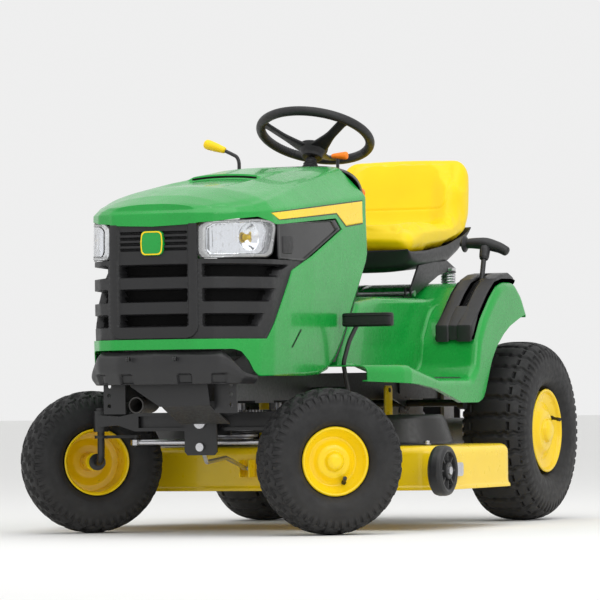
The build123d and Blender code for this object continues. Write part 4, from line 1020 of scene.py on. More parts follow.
def makeFender(sign, word):
    well = along(fender["well"], 260, 26.0)
    ahead = np.gradient(well, axis=0)
    ahead /= np.linalg.norm(ahead, axis=1, keepdims=True)
    outward = np.stack([-ahead[:, 1], ahead[:, 0]], 1)
    outerX = np.interp(well[:, 0], [226, 300, 345, 380], [345, 388, 412, 420])[:, None]
    y, z = well[:, :1], well[:, 1:]
    deckZ = np.maximum(level(along(fender["deck"], 300, 22.0), y), z)
    t = np.linspace(0, 1, 14)[None, :]
    tunnel, corner, fold = fender["tunnel"], fender["corner"], fender["fold"]
    rise = np.clip(deckZ - z, 0, corner)

    top = gridOf((tunnel - corner) * t, y, deckZ)
    turn = t[:, 1:] * pi / 2
    shoulder = gridOf(tunnel - corner + corner * np.sin(turn), y, deckZ - rise * (1 - np.cos(turn)))
    wall = gridOf(tunnel + 3 * t[:, 1:], y,
                  (deckZ - rise) * (1 - t[:, 1:]) + (z + 9 * smoothStep(deckZ - z, 15, 40)) * t[:, 1:])
    foot = gridOf(tunnel + 3 + 12 * np.sin(turn), y, z + 9 * smoothStep(deckZ - z, 15, 40) * np.cos(turn))
    across = gridOf(tunnel + 15 + (outerX - fold - tunnel - 15) * t[:, 1:], y, z)
    foldY = y - outward[:, :1] * fold * (1 - np.cos(turn))
    foldZ = z - outward[:, 1:] * fold * (1 - np.cos(turn))
    lip = gridOf(outerX - fold + fold * np.sin(turn), foldY, foldZ)
    lastY, lastZ = foldY[:, -1:], foldZ[:, -1:]
    low = np.minimum(level(along(fender["arch"], 260, 10.0), lastY), lastZ - 1)
    drop = t[:, 1:]
    skirt = gridOf(outerX, lastY, lastZ + (low - lastZ) * drop)
    under = gridOf(outerX - 14 * t[:, 1:], lastY, low + 0 * t[:, 1:])
    points = np.concatenate([top, shoulder, wall, foot, across, lip, skirt, under], 1) * [sign, 1, 1]
    thing = surface(f"fender_{word}", points, "green", "chassis",
                    replaces=["fender_body"] if word == "left" else ())
    faceTowards(thing, (0, 600, 300, 1))
    walled(thing, 0.0035)
    # the seat deck behind the wings, with its rounded rear edge
    back = along(fender["deck"][-5:], 60, 16.0)
    back = back[back[:, 0] >= 1242]
    y, z = back[:, :1], back[:, 1:]
    t = np.linspace(0, 1, 16)[None, :]
    rows = [np.stack(np.broadcast_arrays((tunnel - corner) * t, y, z), -1)]
    turn = t[:, 1:] * pi / 2
    rows.append(np.stack(np.broadcast_arrays(tunnel - corner + corner * np.sin(turn), y,
                                             z - corner * (1 - np.cos(turn))), -1))
    rows.append(np.stack(np.broadcast_arrays(tunnel, y,
                                             (z - corner) * (1 - t[:, 1:]) + np.minimum(572,
                                                     z - corner - 1) * t[:, 1:]), -1))
    rear = surface(f"fender_rear_{word}", np.concatenate(rows, 1) * [sign, 1, 1], "green", "chassis",
                   thick=3.5)
    faceTowards(rear, (0, 1200, 500, 1))
    # the black kick pad that lies in the foot well
    y, x = np.linspace(430, 806, 130)[:, None], np.linspace(256, 392, 60)[None, :]
    ribs = 1.6 * np.clip(np.cos((y - 430) / 11 * 2 * pi) * 3, 0, 1)
    edge = np.minimum(np.minimum(y - 430, 806 - y), np.minimum(x - 256, 392 - x))
    z = np.interp(y, well[:, 0], well[:, 1]) + (1.8 + ribs) * np.clip(edge / 3, 0, 1) + 0.3
    mat = surface(f"foot_mat_{word}", gridOf(x * sign, y, z), "black", "chassis")
    faceTowards(mat, (0, 0, 1))


for sign, word in ((1, "left"), (-1, "right")):
    makeFender(sign, word)
print("bumper and fenders made")


# ---- dash: the hood's rear section carried back and closed down, with the column boot
dash = {"front": 513.0, "rear": 735.0, "half": 226.0, "low": 880.0}

columnTop = np.array([0, 727, 1072.0])


def makeDash():
    # each section is a half ring: up the side, over the bevel and across the top, shrinking to the rear
    y = np.concatenate([np.linspace(513, 700, 40), 700 + 34.5 * np.sin(np.linspace(0, pi / 2, 18))[1:]])[:,
            None]
    close = np.clip((y - 700) / 35, 0, 1)
    topZ = np.interp(y, [513, 620, 700, 735], [977, 983, 951, 906]) - 3 * close
    half = np.interp(y, [513, 735], [dash["half"], 142]) - 30 * (1 - np.sqrt(np.clip(1 - close ** 2, 0, 1)))
    angle = np.linspace(0, pi, 121)[None, :]
    c, s = np.cos(angle), np.sin(angle)
    x = half * powered(c, 0.62)
    z = dash["low"] + (topZ - dash["low"]) * np.abs(s) ** 0.72
    skin = surface("dash_skin", gridOf(x, y, z), "black", "chassis", replaces=["dashboard"])
    faceTowards(skin, (0, 600, 850, 1))
    walled(skin, 0.003)
    back = np.stack([x[-1], np.full(121, 734.5), z[-1]], -1)
    cap = np.stack([back, np.stack([back[:, 0], back[:, 1], np.full(121, 880.0)], -1)], 0)
    closing = surface("dash_back", cap, "black", "chassis", thick=2.0)
    faceTowards(closing, (0, 1, 0))
    # the boot round the column, in folds
    axis = joint("steering_turn")[1]
    axis = axis * np.sign(axis[2])
    centre = columnTop
    folds = [(-152 + 9 * k + (4.5 if j else 0),
              30 - 1.3 * k - (4 if j else 0)) for k in range(8) for j in (0, 1)]
    boot = along([(-172, 44), (-160, 40)] + folds + [(-72, 15)], 160, 1.6)
    joined("column_boot", [turned(boot, 48, centre, axis)], "black", "chassis")
    # a fuel and hour gauge panel with two plain dials
    for k, xx in enumerate((-62, 62)):
        at = np.array([xx, 668, 964.0])
        tilt = np.array([0, 0.42, 0.9])
        dial = along([(-6, 30), (5, 30), (7, 28), (7, 25), (3, 24), (3, 0.01)], 40, 1.0)
        joined(f"dash_dial_{k}", [turned(dial, 48, at, tilt)], "satin", "chassis")
    for sign, word in ((1, "left"), (-1, "right")):
        seam = along([(432, 646), (383, 584), (312, 491), (262, 444)], 120, 14.0)
        skin = onWall(arcOf(np.minimum(seam[:, 0], 508))[:, None] * sign, seam[:, 1:],
                      np.array([[3.0, 3.4, 3.0]]))
        skin = skin + np.array([0, 1, 0]) * np.array([0.0, 7.0, 14.0])[None, :, None]
        trim = surface(f"dash_trim_{word}", skin, "satin", "chassis", thick=3.0)
        faceTowards(trim, (sign, 0, 0))


makeDash()


def makeTower():
    # the tower under the dash: a rounded box that leans back a little as it rises
    z = np.linspace(626, 881, 40)[:, None]
    angle = np.linspace(0, 2 * pi, 96, endpoint=False)[None, :]
    rear = np.interp(z, [626, 700, 881], [690, 700, 730])
    x = 149 * powered(np.cos(angle), 0.28)
    y = (513 + rear) / 2 + (rear - 513) / 2 * powered(np.sin(angle), 0.28)
    tower = surface("dash_pillar", gridOf(x, y, z), "black", "chassis", closeColumns=True,
                    replaces=["dash_tower"])
    faceTowards(tower, (0, 610, 750, 1))
    walled(tower, 0.003)


makeTower()


# ---- steering wheel: a rim with finger ribs, three dished spokes and a cap, turned about the column
wheel = {"radius": 152.0, "grip": 13.5, "ribs": 64, "ribHeight": 1.7, "spokes": (90, 215, 325)}


def makeSteeringWheel():
    axis = joint("steering_turn")[1]
    axis = axis * np.sign(axis[2])
    centre = columnTop
    side = np.array([1.0, 0, 0])
    ahead = np.cross(axis, side)
    turn = np.linspace(0, 2 * pi, 640, endpoint=False)[:, None]
    ring = np.linspace(0, 2 * pi, 28, endpoint=False)[None, :]
    ribs = np.clip(np.cos(turn * wheel["ribs"] * 2) * 2.5, -1, 1) * (np.abs(np.cos(turn)) > 0.72)
    inner = smoothStep(-np.cos(ring), -0.2, 0.6)
    grip = wheel["grip"] - 0.6 - wheel["ribHeight"] * 0.5 * inner * (1
                                                                     - ribs) * (np.abs(np.cos(turn)) > 0.72)
    out = wheel["radius"] + grip * np.cos(ring)
    points = (centre + (out * np.cos(turn))[..., None] * side + (out * np.sin(turn))[..., None] * ahead
              + (grip * np.sin(ring) + 0 * turn)[..., None] * axis)
    blocks = [(points, gridFaces(640, 28, True, True))]
    for angle in wheel["spokes"]:
        a = radians(angle)
        way, across = side * cos(a) + ahead * sin(a), ahead * cos(a) - side * sin(a)
        line = along([(18, -44), (40, -40), (92, -22), (138, -4), (154, 0)], 60, 14.0)
        t = np.linspace(0, 1, 60)[:, None]
        half = 27 - 13 * smoothStep(t, 0, 0.55) + 5 * smoothStep(t, 0.8, 1)
        loop = np.linspace(0, 2 * pi, 32, endpoint=False)[None, :]
        u = half * powered(np.cos(loop), 0.5)
        v = (6.5 - 1.5 * t) * powered(np.sin(loop),
                                      0.8) - 2.2 * np.exp(-(u / (half * 0.45)) ** 2) * (np.sin(loop) > 0)
        spoke = (centre + line[:, :1, None] * way + u[..., None] * across + (line[:, 1:] + v)[...,
                None] * axis)
        caps = np.concatenate([spoke[:1].mean(1, keepdims=True) + 0 * spoke[:1], spoke,
                               spoke[-1:].mean(1, keepdims=True) + 0 * spoke[-1:]], 0)
        blocks.append((caps, gridFaces(caps.shape[0], 32, False, True)))
    hub = along([(-68, 0.01), (-68, 28), (-60, 30), (-42, 40), (-34, 41), (-31, 38), (-33, 34), (-30, 30),
                 (-27, 0.01)], 70, 3.0)
    blocks.append(turned(hub, 64, centre, axis))
    thing = joined("wheel_grip", blocks, "black", "steering", replaces=["steering_wheel"])
    recalculated(thing)


makeSteeringWheel()


# ---- hand controls
def tube(name, path, radius, paint, body, count=60, soften=6.0, around=20, replaces=(), squash=1.0,
         scale=None):
    # a rod carried along softened knots, closed at both ends
    line = along(path, count, soften)
    thing = joined(name, [carried(disc(radius, around, squash), line, scale=scale)], paint, body,
                   replaces=replaces)
    recalculated(thing)
    return thing


def turnedPiece(name, profile, foot, way, paint, body, around=40, replaces=(), soften=1.0, count=60):
    thing = joined(name, [turned(along(profile, count, soften), around, foot, way)], paint, body,
                   replaces=replaces)
    recalculated(thing)
    return thing


def makeHandControls():
    tube("clutch_rod", [(-170, 592, 928), (-170, 591, 1000), (-176, 590, 1014), (-220, 584, 1036)], 5,
         "steel", "pto_lever",
         replaces=["pto_lever"], soften=12.0)
    foot, tip = np.array([-208, 586, 1031.0]), np.array([-268, 578, 1052.5])
    turnedPiece("clutch_knob", [(0, 0.01), (0, 7), (4, 9), (30, 12.5), (52, 14), (60, 12.5), (64, 8),
                                (65.5, 0.01)], foot,
                tip - foot, "knob", "pto_lever", soften=4.0)
    tube("throttle_rod", [(117, 605, 926), (119, 603, 1004)], 4.5, "steel", "throttle", soften=2.0,
         replaces=["throttle_lever"])
    y, z = np.meshgrid(np.linspace(-1, 1, 30), np.linspace(0, 2 * pi, 40, endpoint=False), indexing="ij")
    tall = 12 * np.sqrt(np.clip(1 - np.abs(y) ** 8, 0, 1))
    px = 125 + 25 * y
    pz = 1007 + (tall * (0.75 + 0.25 * y)) * np.sin(z)
    py = 603 + 10 * np.sqrt(np.clip(1 - np.abs(y) ** 6, 0, 1)) * np.cos(z)
    tab = piece("throttle_tab", np.stack([px, py, pz], -1), gridFaces(30, 40, False, True), "orange",
                "throttle")
    recalculated(tab)
    low, high = box("choke_knob")
    x = (low[0] + high[0]) / 2
    tube("choke_stem", [(x, 700, 925), (x, 744, 914)], 4, "steel", "choke", soften=1.0,
         replaces=["choke_knob"])
    turnedPiece("choke_cap", [(0, 0.01), (0, 10), (3, 12.5), (14, 13), (19, 11), (20, 0.01)],
                (x, 742, 914.5),
                (0, 20, -5), "orange", "choke", soften=2.0)


makeHandControls()
print("dash and controls made")


# ---- lift console and handle
def slab(outlineYz, x0, x1, bevel=3.0, steps=5, soften=3.0, count=220):
    # a flat outline in (y, z) given a thickness along X, its edges rounded
    outlineYz = np.asarray(outlineYz, float)
    loop = along(np.concatenate([outlineYz, outlineYz[:1]]), count + 1, soften)[:-1]
    way = np.roll(loop, -1, 0) - np.roll(loop, 1, 0)
    way /= np.linalg.norm(way, axis=1, keepdims=True) + 1e-9
    normal = np.stack([way[:, 1], -way[:, 0]], 1)
    area = 0.5 * (loop[:, 0] * np.roll(loop[:, 1], -1) - np.roll(loop[:, 0], -1) * loop[:, 1]).sum()
    normal = -normal if area > 0 else normal
    rows, angle = [], np.linspace(0, pi / 2, steps)
    for x, sense in ((x0, 1), (x1, -1)):
        for a in (angle if sense > 0 else angle[::-1]):
            ring = loop + normal * bevel * (1 - sin(a))
            rows.append(np.concatenate([np.full((count, 1), x + sense * bevel * (1 - cos(a))), ring], 1))
    return np.stack(rows), gridFaces(len(rows), count, False, True)


def capped(name, blocks, paint, body, replaces=()):
    # joins open rings of slabs and closes their flat ends
    thing = joined(name, blocks, paint, body, replaces=replaces)
    work = bmesh.new()
    work.from_mesh(thing.data)
    bmesh.ops.holes_fill(work, edges=[e for e in work.edges if e.is_boundary], sides=0)
    bmesh.ops.recalc_face_normals(work, faces=work.faces)
    work.to_mesh(thing.data)
    work.free()
    thing.data.polygons.foreach_set("use_smooth", np.ones(len(thing.data.polygons), bool))
    thing.data.set_sharp_from_angle(angle=radians(38))
    return thing


def makeConsole():
    line = [(862, 500), (860, 545), (930, 594), (996, 644), (1050, 676), (1100, 690), (1150, 695),
            (1185, 684), (1199, 668),
            (1163, 671), (1090, 670), (1036, 660), (985, 628), (913, 568), (872, 508)]
    low, high = box("lift_console")
    x0, x1 = low[0] + 1, high[0] - 1
    blocks = [slab(line, x0, 335, 7.0), slab(line, 355, x1, 7.0)]
    blocks.append(slab([(1133, 676), (1133, 693), (1150, 695), (1185, 684), (1199, 668), (1163, 671)], 328,
                       362, 2.0, count=90))
    blocks.append(slab([(864, 505), (862, 545), (905, 577), (938, 600), (944, 590), (905, 560), (880, 515)],
                       328, 362, 2.0, count=90))
    for k in range(15):
        y = 912 + 14 * k
        z = np.interp(y, [862, 930, 996, 1050, 1100, 1150], [545, 594, 644, 676, 690, 695]) - 6
        blocks.append(slab([(y - 3, z - 9), (y - 3, z), (y + 4, z + 3), (y + 4, z - 6)], 351, 356, 0.8,
                           count=30, soften=0.6))
    capped("lift_housing", blocks, "satin", "chassis", replaces=["lift_console"])
    # the slot between the housing's halves: a near-black sheet of painted shade just under its opening
    floor = along([(880, 545), (930, 578), (996, 630), (1050, 664), (1100, 679), (1140, 684)], 60, 8.0)
    shadowed = np.stack(np.broadcast_arrays(np.array([[334.0, 345.0, 356.0]]), floor[:, :1] + 2,
                                        floor[:, 1:] - 1), -1)
    pit = surface("lift_slot", shadowed, "void", "chassis")
    faceTowards(pit, (0, -0.5, 1))
    tube("lift_rod", [(345, 930, 332), (345, 1004, 560), (345, 1082, 655), (345, 1106, 735)], 7, "steel",
         "lift", soften=24.0,
         count=90)
    line = along([(285, 1126, 778), (300, 1126, 779), (345, 1127, 777), (385, 1132, 764), (408, 1136, 750)],
                 150, 18.0)
    t = np.linspace(0, 1, 150)
    swell = 0.84 + 0.20 * np.sin(pi * np.clip(t * 1.05, 0, 1)) ** 1.5
    swell = swell * np.sqrt(np.clip(1 - np.clip((t - 0.93) / 0.07, 0, 1) ** 2 * 0.9, 0, 1))
    blocks = [carried(disc(16.4, 32), line, scale=swell)]
    blocks.append(turned(along([(0, 0.01), (0, 11), (8, 14), (30, 15), (40, 13), (40, 0.01)], 50, 4.0), 32,
                         (345, 1106, 731), (0, 16, 44)))
    blocks.append(turned(along([(0, 9.5), (0, 22), (2, 24.5), (5, 24.5), (7.5, 21), (12, 15), (12, 9.5)],
                               40, 1.0), 40, (277, 1126, 778), (1, 0, 0)))
    grip = joined("lift_grip", blocks, "satin", "lift", replaces=["lift_handle"])
    recalculated(grip)


makeConsole()


# ---- pedals
def makePedals():
    tube("brake_arm", [(270, 300, 370), (270, 270, 440), (282, 284, 500), (300, 300, 545)], 6, "steel",
         "brake_pedal",
         soften=22.0, replaces=["brake_pedal"], count=90)
    turnedPiece("brake_boss", [(0, 0.01), (0, 8), (1.5, 9), (105, 9), (106.5, 8), (106.5, 0.01)],
                (166, 300, 370), (1, 0, 0),
                "steel", "brake_pedal", soften=0.5)
    t = np.linspace(0, 1, 120)[:, None]
    loop = np.linspace(0, 2 * pi, 60, endpoint=False)[None, :]
    end = np.sqrt(np.clip(1 - np.abs(2 * t - 1) ** 14, 0, 1))
    padEnd = box("brake_pedal")[1][0]
    x = 258.5 + (padEnd - 259) * t + 0 * loop
    cy = 13.5 * powered(np.cos(loop), 0.35)
    cz = 18.5 * powered(np.sin(loop), 0.45)
    rib = np.where(cy < 0, 1.6 * np.clip(np.cos(cz / 18.5 * pi * 4.5) * 2, -1, 1), 0)
    y = 298.5 + (cy + rib * (np.abs(cz) < 16)) * (0.3 + 0.7 * end)
    z = 555 + cz * (0.75 + 0.25 * end)
    pad = np.stack([x, y, z], -1)
    ends = [np.repeat(pad[k].mean(0)[None, None], 60, 1) for k in (0, -1)]
    pad = np.concatenate([ends[0], pad, ends[1]], 0)
    thing = piece("brake_pad", pad, gridFaces(pad.shape[0], 60, False, True), "black", "brake_pedal")
    recalculated(thing)


makePedals()
print("console and pedals made")


# ---- mower deck: a pressed shell with a rolled lip and a rounded shoulder
deck = {"half": 540.0, "front": 250.0, "rear": 850.0, "low": 104.0, "high": 222.0, "shoulder": 22.0}


def deckLine(grow):
    w, f, r = deck["half"] + grow, deck["front"] - grow, deck["rear"] + grow
    half = [(0, f + 10), (96, f + 6), (128, f + 2), (240, f + 1), (430, f + 8), (494, f + 26),
            (w - 12, f + 62), (w, f + 110),
            (w, r - 66), (w - 14, r - 26), (w - 62, r), (200, r), (0, r)]
    return np.array(half, float)


def makeDeck():
    # rows: lip, wall, shoulder, then the top closing in to the middle
    half = along(deckLine(-0.5), 240, 26.0)
    line = np.concatenate([half, (half * [-1, 1])[::-1][1:-1]])
    way = np.roll(line, -1, 0) - np.roll(line, 1, 0)
    way /= np.linalg.norm(way, axis=1, keepdims=True)
    normal = np.stack([-way[:, 1], way[:, 0]], 1)
    normal *= np.sign((normal * (np.array([0, 550]) - line)).sum(1)).mean()
    low, high, r = deck["low"], deck["high"], deck["shoulder"]
    profile = along([(9, low + 1), (0, low + 1), (0.4, low + 9), (5, low + 13), (6, low + 22),
                     (6, high - r)], 46, 2.0)
    turn = np.linspace(0, pi / 2, 12)[1:]
    bend = np.stack([6 + r * (1 - np.cos(turn)), high - r + (r - 1) * np.sin(turn)], 1)
    profile = np.concatenate([profile, bend])
    rim = line[:, None] + normal[:, None] * profile[None, :, :1]
    rows = np.concatenate([rim, np.broadcast_to(profile[None, :, 1:], rim.shape[:2] + (1,))], -1)
    t = np.linspace(0, 1, 50)[1:, None]
    edge = rows[:, -1:, :2]
    inner = edge * (1 - t) + np.array([0.0, 560.0]) * t
    ring = np.minimum(np.hypot(inner[..., 0] - 268, inner[..., 1] - 545),
                      np.hypot(inner[..., 0] + 268, inner[..., 1] - 545))
    height = high - 1 + 0 * ring - 3 * smoothStep(np.abs(ring - 210), 14, 0) * 0
    top = np.concatenate([inner, height[..., None]], -1)
    points = np.concatenate([rows, top], 1)
    skin = surface("deck_skin", points, "yellow", "deck", closeRows=True, replaces=["deck_shell"])
    faceTowards(skin, (0, 550, 120, 1))
    walled(skin, 0.003)
    blocks = []
    for sign in (1, -1):
        # hanger links, and gauge wheel arms
        blocks.append(slab([(751, 222), (751, 372), (757, 382), (797, 382), (803, 372), (803, 222)],
                           sign * 184, sign * 189, 1.0, count=120))
    capped("deck_links", blocks, "yellow", "deck")
    arms = []
    for sign in (1, -1):
        arms.append(slab([(207, 146), (207, 170), (213, 176), (424, 176), (430, 170), (430, 146),
                          (424, 140), (213, 140)],
                         sign * 540.3, sign * 544, 1.0, count=140))
        pin = [(0, 0.01), (0, 6), (46, 6), (46, 10.5), (50, 10.5), (51, 9), (51, 5), (50, 4), (50, 0.01)]
        arms.append(turned(pin, 24, (sign * 540, 225, 157.5), (sign, 0, 0)))
    capped("deck_arms", arms, "zinc", "deck")
    blocks = [slab([(223, 142), (223, 186), (227, 189), (262, 189), (262, 142)], x, x + 4, 0.8,
                   count=70) for x in (-16, 12)]
    capped("deck_ears", blocks, "yellow", "deck")


makeDeck()


def makeCovers():
    # black belt covers: a tapering drum with a rolled foot, a dished top with ribs, and a bolt
    for sign, word in ((1, "left"), (-1, "right")):
        centre = np.array([sign * 300, 575, 0.0])
        profile = along([(223.5, 158), (226, 158), (227, 149), (232, 146), (262, 136), (292, 126),
                         (300, 119), (302.5, 112),
                         (299, 96), (299, 60), (302.5, 46), (302.5, 0.01)], 120, 3.0)
        points, faces = turned(profile, 128, centre, (0, 0, 1))
        angle = np.linspace(0, 2 * pi, 128, endpoint=False)[:, None]
        rib = 2.2 * np.clip(np.cos(angle * 10) * 6 - 4.6, 0, 1) * ridge(profile[None, :, 1], 50, 108, 6.0)
        points[..., 2] += rib
        thing = piece(f"belt_cover_{word}", points, faces, "satin", "deck",
                      replaces=["belt_covers"] if word == "left" else ())
        recalculated(thing)
        turnedPiece(f"cover_bolt_{word}",
                    [(0, 0.01), (0, 11), (2, 11), (2, 7.5), (9, 7.5), (10, 6.5), (10, 0.01)],
                    (sign * 420, 480, 223), (0, 0, 1), "zinc", "deck", around=24, soften=0.3)


makeCovers()


def makeGaugeWheels():
    # a solid wheel: crowned tread, raised bead, recessed web with eight spokes and a hub
    for sign, word in ((1, "left"), (-1, "right")):
        centre, axis = joint(f"{word}_gauge_spin")
        axis = np.array([sign, 0, 0.0])
        low, high = box(f"{word}_gauge_wheel")
        centre = (low + high) / 2
        face = along([(-20.5, 20), (-19, 22), (-6, 24), (-6, 46), (-18, 49), (-20.5, 56), (-16, 63.5),
                      (-8, 65.8), (8, 65.8),
                      (16, 63.5), (20.5, 56), (18, 49), (6, 46), (6, 24), (19, 22), (20.5, 20), (20, 7),
                      (-20, 7), (-20.5, 20)], 200, 1.6)
        points, faces = turned(face, 128, centre, axis)
        angle = np.linspace(0, 2 * pi, 128, endpoint=False)[:, None]
        spoke = np.clip(np.cos(angle * 8) * 5 - 3.2, 0, 1) * ridge(face[None, :, 1], 22, 49, 3.0)
        points = points + (np.sign(face[None, :, :1]) * spoke[...,
                                                              None] * 9.0) * axis * (np.abs(face[None, :,
                                                                      :1]) < 12)
        thing = piece(f"gauge_tyre_{word}", points, faces, "satin", f"{word}_gauge",
                      replaces=[f"{word}_gauge_wheel"])
        recalculated(thing)


makeGaugeWheels()
print("deck made")


# ---- seat: a bucket of padded vinyl on a black pan
seat = {
    "inner": [(880, 800), (900, 822), (935, 826), (1000, 814), (1150, 806), (1232, 812), (1280, 842),
              (1306, 915), (1330, 985),
              (1350, 1028), (1366, 1040)],
    "outer": [(880, 778), (892, 754), (930, 752), (1029, 758), (1180, 777), (1290, 803), (1352, 822),
              (1388, 866), (1405, 940),
              (1408, 1000), (1398, 1032)],
    "eye": (1130, 985), "bolster": 24.0, "half": 219.0, "backHalf": 197.0, "shrink": 5.0, "cap": 0.010,
}


def padSkin():
    # two lines, inner and outer, run from the front lip to the top of the back; a section goes round both, gets
    # thin at the sides and ends, and its inner line moves in towards a point over the seat to make the wings
    inner, outer = (along(seat[key], 110, 34.0) for key in ("inner", "outer"))
    spine, reach = (inner + outer) / 2, (inner - outer) / 2
    thick = np.linalg.norm(reach, axis=1, keepdims=True)
    way = reach / thick
    walk = np.r_[0, np.cumsum(np.linalg.norm(np.diff(spine, axis=0), axis=1))]
    rest = np.minimum(walk, walk[-1] - walk)
    ends = eased(rest, 20.0)
    a = np.sin(np.linspace(-pi / 2, pi / 2, 81))[:, None]
    share = np.abs(a)
    fromTop = walk[-1] - walk
    width = np.interp(spine[:, 1], [800, 860, 960, 1040], [seat["half"], 212, 204, seat["backHalf"]])
    width = width - 44 * (1 - eased(fromTop, 50.0))
    width = width - 34 * (1 - eased(walk, 44.0)) - seat["shrink"]
    sides = np.sqrt(np.clip(1 - np.clip((share - 0.84) / 0.16, 0, 1) ** 2, 0, 1))
    half = np.maximum(thick[:, 0] - seat["shrink"], 6) * ends * sides
    aim = np.array(seat["eye"], float) - inner
    aim /= np.linalg.norm(aim, axis=1, keepdims=True)
    grow = seat["bolster"] * smoothStep(share, 0.50, 0.84) * smoothStep(walk, 40, 120) * smoothStep(fromTop,
            20, 130)
    crown = 5.0 * (1 - share ** 2) * smoothStep(fromTop, 200, 40)
    x = a * width
    front = np.stack([x, spine[:, 0] + way[:, 0] * half + aim[:, 0] * grow,
                      spine[:, 1] + way[:, 1] * half + aim[:, 1] * grow + crown], -1)
    back = np.stack([x, spine[:, 0] - way[:, 0] * half, spine[:, 1] - way[:, 1] * half + crown], -1)
    mid = (front + back) / 2
    front[[0, -1]], back[[0, -1]] = mid[[0, -1]], mid[[0, -1]]
    loop = np.concatenate([front, back[:, ::-1]], 1)
    return loop


def swell(thing, frames=20):
    # blows the pad up a little as cloth, then keeps the shape, no point moving further than the cap
    start = thing.data.copy()
    scene = bpy.context.scene
    bpy.context.view_layer.objects.active = thing
    remesh = thing.modifiers.new("remesh", "REMESH")
    remesh.mode, remesh.voxel_size = "VOXEL", 0.006
    remesh.use_smooth_shade = True
    settle(thing)
    before = coordinates(thing.data)
    cloth = thing.modifiers.new("cloth", "CLOTH")
    cloth.settings.use_pressure = True
    cloth.settings.uniform_pressure_force = 4.0
    cloth.settings.effector_weights.gravity = 0.0
    cloth.settings.quality = 5
    cloth.point_cache.frame_start, cloth.point_cache.frame_end = 1, frames
    for frame in range(1, frames + 1):
        scene.frame_set(frame)
    settle(thing)
    scene.frame_set(1)
    after = coordinates(thing.data)
    if len(after) == len(before):
        move = after - before
        far = np.linalg.norm(move, axis=1, keepdims=True)
        after = before + move * np.minimum(1, seat["cap"] / np.maximum(far, 1e-9))
        thing.data.vertices.foreach_set("co", after.astype(np.float32).ravel())
    bpy.data.meshes.remove(start)


def coordinates(mesh):
    points = np.zeros(len(mesh.vertices) * 3, np.float32)
    mesh.vertices.foreach_get("co", points)
    return points.reshape(-1, 3).astype(float)


def settle(thing):
    # makes what the modifiers give the piece's own mesh
    deps = bpy.context.evaluated_depsgraph_get()
    deps.update()
    mesh = bpy.data.meshes.new_from_object(thing.evaluated_get(deps))
    thing.modifiers.clear()
    thing.data = mesh


def refine(thing):
    more = thing.modifiers.new("smooth", "SUBSURF")
    more.levels = more.render_levels = 1
    settle(thing)


def sewSeams(thing):
    # presses sewn lines into the pad: each vertex near a seam moves in along its normal
    mesh = thing.data
    points = coordinates(mesh)
    normals = np.zeros(len(points) * 3, np.float32)
    mesh.vertices.foreach_get("normal", normals)
    normals = normals.reshape(-1, 3)
    local = (points - home) * 1000
    deep = np.zeros(len(points))
    front = normals @ np.array([0, -0.8, 0.6]) > 0.2
    backSeam = along([(-150, 1010), (-166, 960), (-166, 905), (-150, 886), (150, 886), (166, 905),
                      (166, 960), (150, 1010)], 240, 18.0)
    seatSeam = along([(-168, 905), (-172, 1000), (-168, 1180), (-140, 1216), (140, 1216), (168, 1180),
                      (172, 1000), (168, 905)], 300, 22.0)
    for line, plane, allowed in ((backSeam, (0, 2), front & (local[:, 2] > 872)),
                                 (seatSeam, (0, 1), (normals[:, 2] > 0.4) & (local[:, 1] < 1240))):
        chosen = np.flatnonzero(allowed)
        gap = np.min(np.hypot(local[chosen, plane[0]][:, None] - line[None, :, 0],
                              local[chosen, plane[1]][:, None] - line[None, :, 1]), 1)
        deep[chosen] = np.maximum(deep[chosen],
                                  2.6 * np.exp(-(gap / 3.2) ** 2) - 0.8 * np.exp(-((gap - 8) / 4.0) ** 2))
    points -= normals * deep[:, None] / 1000
    mesh.vertices.foreach_set("co", points.astype(np.float32).ravel())
    mesh.update()


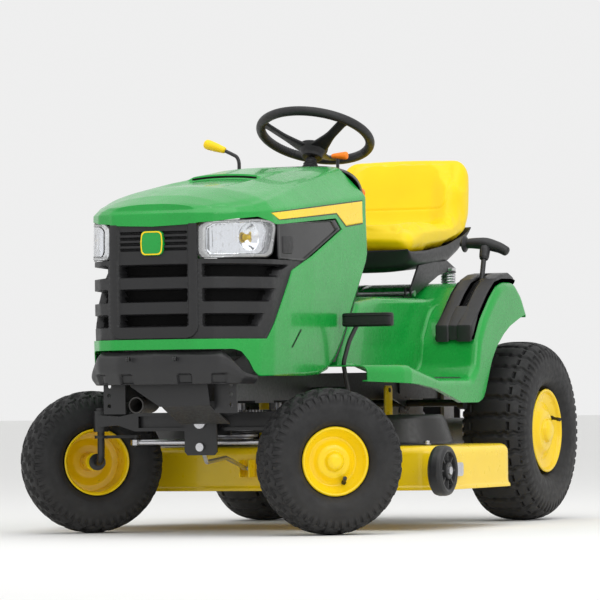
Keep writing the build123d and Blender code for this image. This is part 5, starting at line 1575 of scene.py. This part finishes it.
def makeSeat():
    points = padSkin()
    pad = piece("seat_pad", points, gridFaces(points.shape[0], points.shape[1], False, True), "vinyl",
                "seat",
                replaces=["seat_cushion"])
    recalculated(pad)
    swell(pad)
    refine(pad)
    pad.data.polygons.foreach_set("use_smooth", np.ones(len(pad.data.polygons), bool))
    sewSeams(pad)
    pad.data.materials.clear()
    pad.data.materials.append(paints["vinyl"])
    # the black pan: a tray from the pad's lower edge down to its own floor
    rim = along([(884, 758), (905, 752), (1030, 759), (1180, 778), (1304, 808), (1350, 822), (1366, 833)],
                120, 14.0)
    low = along([(884, 756), (900, 708), (950, 696), (1103, 706), (1217, 716), (1287, 748), (1345, 800),
                 (1366, 831)], 120, 20.0)
    angle = np.linspace(0, pi, 61)[None, :]
    deep = np.abs(np.sin(angle)) ** 0.5
    x = 206 * powered(np.cos(angle), 0.45) + 0 * rim[:, :1]
    pan = surface("seat_pan", np.stack([x, rim[:, :1] + (low - rim)[:, :1] * deep,
                                        rim[:, 1:] + (low - rim)[:, 1:] * deep], -1),
                  "satin", "seat", replaces=["seat_base"])
    faceTowards(pan, (0, 1130, 790, 1))
    walled(pan, 0.003)
    arm = [(926, 630), (944, 628), (1130, 690), (1200, 703), (1262, 703), (1262, 714), (1200, 734),
           (1100, 728), (985, 716), (926, 650)]
    blocks = [slab(arm, sign * 192, sign * 198, 1.0) for sign in (1, -1)]
    capped("seat_arms", blocks, "steel", "seat")
    blocks = [turned([(0, 0.01), (0, 9), (3, 9), (3, 6), (407, 6), (407, 9), (410, 9), (410, 0.01)], 24,
                     (-205, 935, 637), (1, 0, 0))]
    blocks += [turned([(0, 0.01), (0, 20), (6, 22), (8, 22), (8, 0.01)], 32, (sign * 190, 1225, 706),
                      (0, 0, 1)) for sign in (1, -1)]
    joined("seat_pin", blocks, "zinc", "seat")


makeSeat()


def makeSprings():
    # each spring is a wire carried along a helix that closes up at its ends, between two dished plates
    blocks, plates = [], []
    for sign in (1, -1):
        t = np.linspace(0, 1, 420)
        turns = 5.0 * 2 * pi * t
        climb = 654 + 8 + 40 * (t + 0.10 * np.sin(2 * pi * t) / (2 * pi))
        line = np.stack([sign * 190 + 18 * np.cos(turns), 1225 + 18 * np.sin(turns), climb], 1)
        blocks.append(carried(disc(3.6, 12), line))
        for z, tall in ((652, 8), (699, 6)):
            plates.append(turned(along([(0, 0.01), (0, 21), (1.5, 22), (tall - 1.5, 22), (tall, 20),
                                        (tall, 0.01)], 30, 0.8), 40,
                                 (sign * 190, 1225, z), (0, 0, 1)))
    coil = joined("seat_coils", blocks, "zinc", "chassis", replaces=["seat_springs"])
    recalculated(coil)
    plate = joined("spring_plates", plates, "steel", "chassis")
    recalculated(plate)


makeSprings()
print("seat made")
